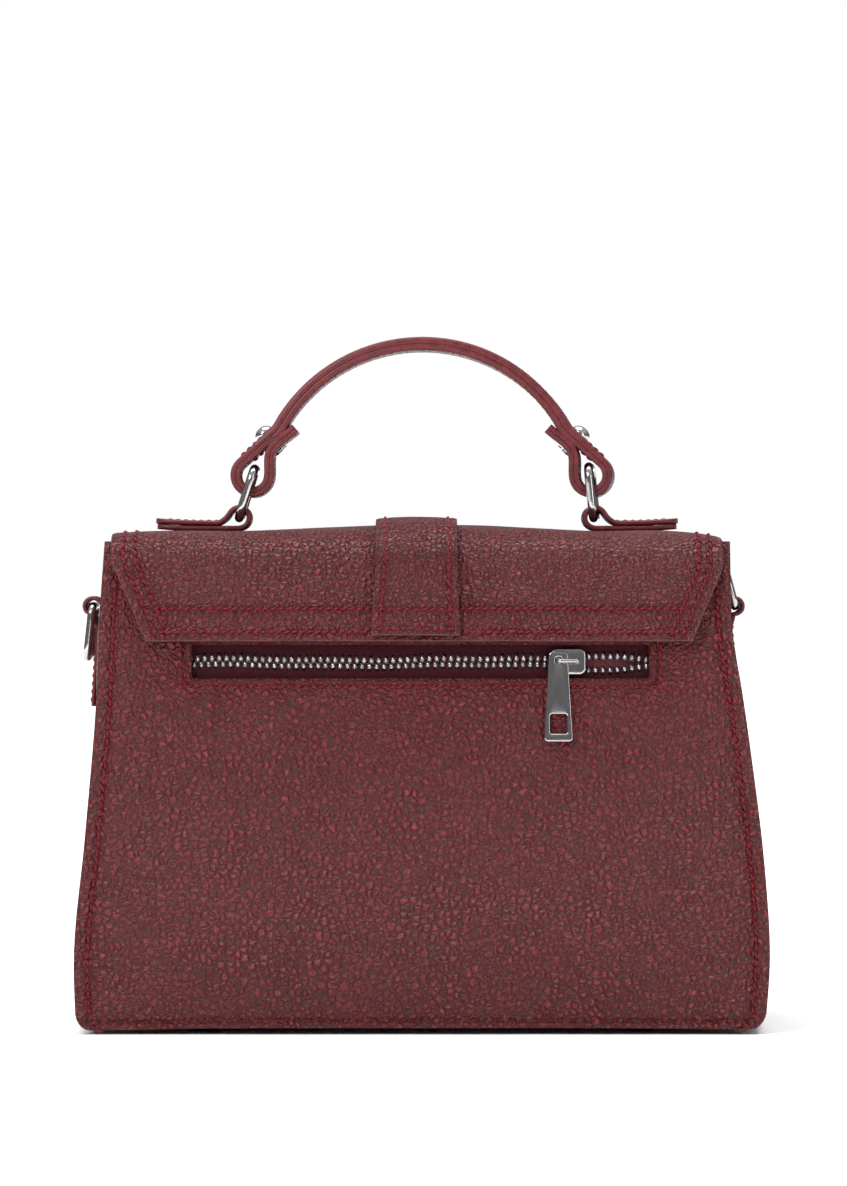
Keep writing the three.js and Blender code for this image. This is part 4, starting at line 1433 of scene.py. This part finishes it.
def handle_chape_line(side):
    """A handle loop's strip: in along the flap, round the ring's bar, and back under itself."""
    bar = pivot("handle_sway") if side < 0 else pivot("right_ring_swing")
    under = FLAP_TOP + 0.15 + CHAPE_THICK / 2
    over = under + CHAPE_THICK + 0.05
    turn = arc(0, bar.z, 4.0, 130, -90, 22)
    path = [Vector((x, 0, over + lift)) for x, lift in (
        (-32.7, 0.9), (-30, 0.7), (-22, 0.2), (-12, 0), (-7.6, 0.2), (-5.0, 2.0),
    )]
    path = soft(path + turn[:2], 30) + turn[2:-1]
    path += [Vector((x, 0, under + lift)) for x, lift in ((0, 0), (-12, 0), (-24, 0.1), (-32.2, 0.8))]
    path = even(path, 0.9)
    if side > 0:
        path = mirrored(path)
    return [Vector((bar.x + p.x, 0, p.z)) for p in path]


def side_chape_line(side):
    """A side loop's strip: up the side, round the ring's bar, and down over itself."""
    bar = pivot("left_side_ring_swing") if side < 0 else pivot("right_side_ring_swing")
    reach = abs(bar.x)
    turn = arc(reach, bar.z, 3.2, 140, -105, 22)
    path = [Vector((gusset_face(side, z) + 1.1, 0, z)) for z in (124, 134, 144, 154, 161)]
    path.append(Vector((gusset_face(side, bar.z) + 1.7, 0, bar.z + 0.4)))
    path = soft(path + turn[:2], 44) + turn[2:-1]
    path += [Vector((gusset_face(side, z) + 3.0, 0, z)) for z in (155, 146, 136)]
    path.append(Vector((gusset_face(side, 124.6) + 3.1, 0, 124.6)))
    path = even(path, 0.9)
    return path if side > 0 else mirrored(path)


class SATCHEL_OT_chapes(bpy.types.Operator):
    """Fold the four leather loops that hold the rings"""

    bl_idname = "satchel.chapes"
    bl_label = "Ring loops"

    def execute(self, context):
        looks = [look("Leather strap"), look("Strap edge")]
        across = Vector((0, 1, 0))
        for side, word in ((-1, "left"), (1, "right")):
            for place, body, line, thick, end, least in (
                ("handle", "flap_top", handle_chape_line(side), CHAPE_THICK, 7, 0.55),
                ("side", "body", side_chape_line(side), SIDE_CHAPE_THICK, 3, 0.8),
            ):
                section = strap_section(CHAPE_WIDTH, thick, CHAPE_ROW)
                narrow = trim(end, line_length(line), least)
                loop = sweep(f"{word}_{place}_loop", line, section, across, looks, narrow=narrow)
                stand_for(loop, body, "leather", f"{word}_{place}_chape")
        return {"FINISHED"}


# ---- zip ----
TOOTH_PITCH = 2.8
WALL_UP = Vector((0, math.sin(LEAN), math.cos(LEAN)))
WALL_OUT = Vector((0, -math.cos(LEAN), math.sin(LEAN)))


def wall_point(x, z, out):
    """A place on the back wall, that far outside the leather's inner face."""
    return Vector((x, -(wall_y(z) - LEATHER / math.cos(LEAN)), z)) + WALL_OUT * out


def on_wall(place):
    """Moves a flat plate from the origin to a place on the wall, lying as the wall does."""
    turn = Matrix((Vector((1, 0, 0)), WALL_UP, WALL_OUT)).transposed()
    return Matrix.Translation(place * MM) @ turn.to_4x4()


def chain_wave(x):
    """A sewn chain never lies quite straight."""
    return 0.35 * math.sin(x / 17.0) + 0.2 * math.sin(x / 6.3 + 1.0)


def chain_gap(x):
    """How far the two rows stand apart behind the slider, where they are not yet locked."""
    start = corners("zip_slider")[0].x + 6
    return 1.5 * smooth((x - start) / 7) * smooth((CHAIN_RIGHT - 4 - x) / 16)


def tooth_shape():
    """One metal tooth: a rounded block with a waist, a few dozen faces."""
    shape = bmesh.new()
    bmesh.ops.create_cube(shape, size=1.0)
    bmesh.ops.scale(shape, vec=(1.75 * MM, 3.4 * MM, 2.1 * MM), verts=shape.verts)
    for v in shape.verts:
        if v.co.y > 0:
            v.co.x *= 0.8
            v.co.z *= 0.8
    sharp = shape.edges[:] + shape.verts[:]
    bmesh.ops.bevel(shape, geom=sharp, offset=0.22 * MM, segments=2, affect="EDGES")
    mesh = bpy.data.meshes.new("tooth_shape")
    shape.to_mesh(mesh)
    shape.free()
    mesh.shade_smooth()
    return placed("tooth_shape", mesh)


def turned_rim(name, left, right, low, high, width, height, corner, materials):
    """The window's edge: leather turned under and stitched flat, so it stands up like a cord."""
    points = rounded_box(left, right, low, high, corner)
    dense = []
    for i, point in enumerate(points):
        after = points[(i + 1) % len(points)]
        steps = max(1, int(math.dist(point, after) / 3))
        for k in range(steps):
            t = k / steps
            dense.append((point[0] + (after[0] - point[0]) * t, point[1] + (after[1] - point[1]) * t))
    path = []
    for x, z in dense:
        soft_edge = ripple(Vector((x, 4, z)), 9, 0.35)
        path.append(wall_point(x, z, LEATHER + 0.1 + soft_edge))
    section = []
    for i in range(14):
        a = 2 * math.pi * i / 14
        section.append((height * math.sin(a), width / 2 * math.cos(a), 0))
    return sweep(name, path, section, WALL_OUT, materials, closed=True)


class SATCHEL_OT_zip(bpy.types.Operator):
    """Set the zip in its window, with its slider and its metal pull"""

    bl_idname = "satchel.zip"
    bl_label = "Zip"

    def execute(self, context):
        rim = turned_rim(
            "window_rim", WINDOW_LEFT - 1.2, WINDOW_RIGHT + 1.2, CHAIN_Z - WINDOW_HALF - 1.2,
            CHAIN_Z + WINDOW_HALF + 1.2, 3.2, 1.25, 2.4, [look("Leather strap")],
        )
        stand_for(rim, "body", "leather")
        tooth = tooth_shape()
        # a tape's places across: how far from the chain's middle, and how far out of the wall
        tape_places = ((0.9, -0.9), (1.3, -0.75), (2.0, -0.9), (2.6, -1.1), (4.5, -1.15), (9.0, -1.2))
        xs = np.linspace(CHAIN_LEFT + 1.5, CHAIN_RIGHT - 1.5, 130)
        for side, word in ((1, "upper"), (-1, "lower")):
            rows = []
            for x in xs:
                middle = CHAIN_Z + chain_wave(x) + side * chain_gap(x)
                row = []
                for step, out in tape_places:
                    row.append(wall_point(x, middle + side * step, out))
                rows.append(row if side < 0 else row[::-1])
            rows = [list(r) for r in zip(*rows)]
            tape = sheet(f"zip_tape_{word}_cloth", rows, 0.5, [look("Zip tape")] * 3, rounding=0.1)
            stand_for(tape, "body", "zip_tape", f"zip_tape_{word}")
            line = []
            start = CHAIN_LEFT + 1.4 + (TOOTH_PITCH / 2 if side > 0 else 0)
            for x in np.arange(start, CHAIN_RIGHT - 1.0, 0.7):
                z = CHAIN_Z + chain_wave(x) + side * (chain_gap(x) + 1.35)
                line.append((wall_point(x, z, -1.0), -WALL_OUT))
            if side > 0:
                line.reverse()
            row_name = f"zip_teeth_{word}_row"
            teeth = repeat(row_name, [line], tooth, TOOTH_PITCH, "Tooth metal", wander=0.05, seed=4)
            stand_for(teeth, "body", "nickel", f"zip_teeth_{word}")
        discard(tooth)
        self.slider()
        self.pull()
        return {"FINISHED"}

    def slider(self):
        low, high = corners("zip_slider")
        middle = (low.x + high.x) / 2
        place = wall_point(middle, CHAIN_Z, 0)

        def seat(out):
            return on_wall(place + WALL_OUT * out)

        outline = rounded(6.85, 5.2, 2.6)
        cap = plate("slider_cap", outline, seat(1.35), [look("Nickel")], 1.9, 0.8)
        under = plate("slider_under", rounded(6.2, 4.6, 2.2), seat(-3.3), [look("Nickel")], 1.0, 0.4)
        path = []
        for x, out in ((-3.85, 1.8), (-3.85, 3.2), (-3.82, 4.5), (-3.3, 5.05), (-2.4, 5.15), (0, 5.2),
                       (2.4, 5.15), (3.3, 5.05), (3.82, 4.5), (3.85, 3.2), (3.85, 1.8)):
            path.append(place + Vector((x, 0, 0)) + WALL_OUT * out)
        section = []
        for i in range(12):
            a = 2 * math.pi * i / 12
            section.append((0.85 * math.cos(a), 0.68 * math.sin(a), 0))
        bridge = sweep("slider_bridge", soft(path, 30), section, WALL_UP, [look("Nickel")])
        whole = join("zip_slider_body", [cap, under, bridge])
        stand_for(whole, "zip_slider", "nickel", "zip_slider")

    def pull(self):
        hinge = pivot("zip_pull_swing")
        low, high = corners("zip_pull")
        seat = on_wall(hinge + WALL_OUT * 0.12)
        top = (high.z - hinge.z) / math.cos(LEAN) - 0.2
        end = (low.z - hinge.z) / math.cos(LEAN)
        middle = (low.x + high.x) / 2 - hinge.x
        outline = []
        for x, y, a0, a1, r in (
            (3.7, top, 0, 90, 1.6), (-3.7, top, 90, 180, 1.6),
            (-5.5, end, 180, 270, 1.5), (5.5, end, 270, 360, 1.5),
        ):
            cx = middle + x - r * (1 if x > 0 else -1)
            cy = y - r * (1 if y > end + 5 else -1)
            for a in np.linspace(a0, a1, 6):
                outline.append((cx + r * math.cos(math.radians(a)), cy + r * math.sin(math.radians(a))))
        window = [(middle + x, end + 3.1 + 3.8 + y) for x, y in rounded(3.3, 3.8, 0.8)]
        eye = rounded(1.25, 1.35, 0.9)
        bar = plate("zip_pull_bar", outline, seat, [look("Nickel")], 1.6, 0.5, (window, eye))
        stand_for(bar, "zip_pull", "nickel", "zip_pull")


class SATCHEL_OT_feet(bpy.types.Operator):
    """Turn the four studs that the bag stands on"""

    bl_idname = "satchel.feet"
    bl_label = "Feet"

    def execute(self, context):
        for word in ("left_back", "right_back", "left_front", "right_front"):
            low, high = corners(f"{word}_foot")
            place = Vector(((low.x + high.x) / 2, (low.y + high.y) / 2, 0))
            top = high.z + 0.3
            profile = [(0, 0), (4.6, 0), (5.3, 0.2), (5.8, 0.7), (6.0, 1.4)]
            profile += [(6.0, top - 0.2), (5.8, top), (0, top)]
            stud = lathe(f"{word}_stud", profile, place, Vector((0, 0, 1)), [look("Foot metal")])
            stand_for(stud, "body", "foot_metal", f"{word}_foot")
        return {"FINISHED"}


# ---- stitching ----
def upright_lines(point, side, inset, low, high):
    """A stitch line up one side of a panel."""
    line = []
    for z in np.arange(low, high, 2.5):
        left, right = body_edges(z)
        x = left + inset if side < 0 else right - inset
        place = point(x, z, -0.3)
        place.z += (bottom_edge(x) - PANEL_FOOT) * smooth(1 - (z - PANEL_FOOT) / 16)
        out = Vector((0, -1, SLOPE)) if place.y < 0 else Vector((0, 1, SLOPE))
        line.append((place, out))
    return line


def flap_side_line(spine, side, inset, edges, lift):
    """A stitch line down one side of the flap or the strap."""
    line = []
    for place in spine:
        if place[5] < 3.5:
            continue
        left, right = edges(place)
        x = left + inset if side < 0 else right - inset
        line.append((flap_at(place, x, lift), flap_out(place)))
    return line


def flap_cross_line(spine, part, height, edges, margin, lift):
    """A stitch line across the flap or the strap, nearest that distance from its end."""
    place = min((p for p in spine if p[4] == part), key=lambda p: abs(p[5] - height))
    left, right = edges(place)
    xs = np.linspace(left + margin, right - margin, 60)
    return [(flap_at(place, x, lift), flap_out(place)) for x in xs]


def strip_lines(line, reach, lift, first, last):
    """Two rows of stitches along a strap's path, on its outer face, from one length to another."""
    rows = ([], [])
    run = 0.0
    across = Vector((0, 1, 0))
    for i, (point, _, normal) in enumerate(along_path(line, across)):
        if i:
            run += (line[i] - line[i - 1]).length
        if first <= run <= last:
            out = normal if lift > 0 else -normal
            for row, side in zip(rows, (-1, 1)):
                row.append((point + normal * lift + across * side * reach, out))
    return [row for row in rows if len(row) > 2]


class SATCHEL_OT_stitching(bpy.types.Operator):
    """Sew every seam, row by row"""

    bl_idname = "satchel.stitching"
    bl_label = "Stitching"

    def execute(self, context):
        thread = context.scene.satchel_thread
        stitch = stitch_shape(thread.length, thread.radius)
        self.made = 0

        def sew(name, lines):
            self.made += 1
            return repeat(
                name, lines, stitch, thread.pitch, "Thread", tilt=thread.slant, wander=0.06, seed=self.made
            )

        inset = context.scene.satchel_body.seam_inset
        body = [upright_lines(point, side, inset, 9, PANEL_TOP - 7)
                for point in (back_point, front_point) for side in (-1, 1)]
        left, right = WINDOW_LEFT - 4.0, WINDOW_RIGHT + 4.0
        low, high = CHAIN_Z - WINDOW_HALF - 2.7, CHAIN_Z + WINDOW_HALF + 2.7
        for a, b in (((left, low), (right, low)), ((left, high), (right, high)),
                     ((left, low), (left, high)), ((right, low), (right, high))):
            count = int(math.dist(a, b) / 3) + 2
            row = []
            for t in np.linspace(0, 1, count):
                x, z = a[0] + (b[0] - a[0]) * t, a[1] + (b[1] - a[1]) * t
                row.append((back_point(x, z, -0.05), Vector((0, -1, SLOPE))))
            body.append(row)
        for side in (-1, 1):
            line = side_chape_line(side)
            length = line_length(line)
            body += strip_lines(line, CHAPE_WIDTH / 2 - CHAPE_ROW, -0.65 * side, length - 32, length - 2)
        stand_for(sew("body_stitches", body), "body", "leather")
        spine = flap_spine(BACK_HEM, FRONT_HEM, HEM_ROWS)
        rows = []
        for side in (-1, 1):
            for margin in FLAP_SIDE_ROWS:
                rows.append(flap_side_line(spine, side, margin, spine_edges, 0.0))
        for height, margin in zip(FLAP_HEM_ROWS, FLAP_SIDE_ROWS):
            rows.append(flap_cross_line(spine, "back", height, spine_edges, margin, 0.0))
        rows.append(flap_cross_line(spine, "front", FLAP_HEM_ROWS[0], spine_edges, FLAP_SIDE_ROWS[0], 0.0))
        made = halves(sew("flap_stitches", rows), "flap_rear_stitches", "flap_front_stitches")
        hang(made, (), ())
        slack = context.scene.satchel_flap.strap_loose
        spine = strap_spine(slack)
        lift = STRAP_LIFT - 0.1 + slack * 0.1
        rows = [flap_side_line(spine, side, STRAP_ROW, strap_edges, lift) for side in (-1, 1)]
        near, far = STRAP_END_ROWS
        for part, height in (("back", near), ("back", far), ("front", near)):
            rows.append(flap_cross_line(spine, part, height, strap_edges, STRAP_ROW, STRAP_LIFT + 0.05))
        made = halves(sew("strap_stitches", rows), "strap_rear_stitches", "strap_front_stitches")
        hang(made, (), ())
        line = handle_line()[0]
        length = line_length(line)
        arch = strip_lines(line, HANDLE_HALF_WIDTH - HANDLE_ROW, ARCH_THICK / 2 - 0.55, 52, length - 52)
        arch += strip_lines(line, HANDLE_HALF_WIDTH - HANDLE_ROW, 0.55 - ARCH_THICK / 2, 54, length - 54)
        stand_for(yaw_right(sew("handle_stitches", arch)), "handle", "leather")
        rows = []
        for side in (-1, 1):
            rows += strip_lines(handle_chape_line(side), CHAPE_WIDTH / 2 - CHAPE_ROW, 0.7 * side, 5, 24)
        stand_for(sew("loop_stitches", rows), "flap_top", "leather")
        discard(stitch)
        return {"FINISHED"}


# ---- stage ----
def softbox(name, place, aim, size, power):
    """A rectangular studio light turned towards a place."""
    light = bpy.data.lights.new(name, "AREA")
    light.shape = "RECTANGLE"
    light.size, light.size_y = size
    light.energy = power
    obj = placed(name, light)
    obj.location = place
    obj.rotation_euler = (Vector(aim) - Vector(place)).to_track_quat("-Z", "Y").to_euler()


class SATCHEL_OT_stage(bpy.types.Operator):
    """Lay the floor, hang the softboxes and set the camera"""

    bl_idname = "satchel.stage"
    bl_label = "Stage"

    def execute(self, context):
        scene = context.scene
        settings = scene.satchel_stage
        reach = 40.0
        mesh = bpy.data.meshes.new("floor")
        mesh.from_pydata([(-reach, -reach, 0), (reach, -reach, 0), (reach, reach, 0), (-reach, reach, 0)],
                         [], [(0, 1, 2, 3)])
        mesh.materials.append(look("Pale floor"))
        placed("floor", mesh)
        world = bpy.data.worlds.new("Studio")
        world.use_nodes = True
        scene.world = world
        g = Graph(world.node_tree)
        away = g.add("ShaderNodeTexCoord").outputs["Generated"]
        height = g.add("ShaderNodeSeparateXYZ", (0, away)).outputs[2]
        room = g.mix(g.ramp(height, 0.15, 0.75), (0.2, 0.2, 0.21, 1), (0.7, 0.71, 0.73, 1))
        seen = g.add("ShaderNodeLightPath").outputs["Is Camera Ray"]
        paper = g.mix(seen, room, (1.0, 1.0, 1.0, 1))
        background = world.node_tree.nodes["Background"]
        world.node_tree.links.new(paper, background.inputs["Color"])
        background.inputs["Strength"].default_value = 1.0
        softbox("Key", (-1.5, -1.9, 1.7), (0, 0, 0.12), (0.8, 0.8), 44)
        softbox("Fill", (1.9, -1.8, 0.9), (0, 0, 0.12), (0.5, 1.4), 9)
        softbox("Top", (0.0, 0.2, 2.0), (0, 0, 0.1), (1.8, 1.2), 46)
        camera = bpy.data.cameras.new("Camera")
        camera.lens = settings.lens
        camera.sensor_width = 36
        camera.clip_start = 0.01
        camera.clip_end = 200
        obj = placed("Camera", camera)
        obj.location = (0.0004, -settings.distance - 0.055, settings.height)
        obj.rotation_euler = (math.radians(90), 0, 0)
        scene.camera = obj
        scene.view_settings.view_transform = "Standard"
        return {"FINISHED"}


# ---- panel, registering, and the run ----
STEPS = (
    SATCHEL_OT_walls, SATCHEL_OT_inside, SATCHEL_OT_flap, SATCHEL_OT_handle, SATCHEL_OT_rings,
    SATCHEL_OT_chapes, SATCHEL_OT_zip, SATCHEL_OT_feet, SATCHEL_OT_stitching, SATCHEL_OT_stage,
)


class SATCHEL_PT_sidebar(bpy.types.Panel):
    """The satchel's steps and sizes"""

    bl_label = "Satchel"
    bl_idname = "SATCHEL_PT_sidebar"
    bl_space_type = "VIEW_3D"
    bl_region_type = "UI"
    bl_category = "Satchel"

    def draw(self, context):
        layout = self.layout
        for step in STEPS:
            layout.operator(step.bl_idname)
        for name, kind in SETTINGS.items():
            box = layout.box()
            for field in kind.__annotations__:
                box.prop(getattr(context.scene, name), field)


def register():
    for kind in (*SETTINGS.values(), *STEPS, SATCHEL_PT_sidebar):
        bpy.utils.register_class(kind)
    for name, kind in SETTINGS.items():
        setattr(bpy.types.Scene, name, PointerProperty(type=kind))


def unregister():
    for name in SETTINGS:
        delattr(bpy.types.Scene, name)
    for kind in reversed((*SETTINGS.values(), *STEPS, SATCHEL_PT_sidebar)):
        bpy.utils.unregister_class(kind)


def main():
    register()
    for step in STEPS:
        area, name = step.bl_idname.split(".")
        getattr(getattr(bpy.ops, area), name)()


if __name__ == "__main__":
    main()
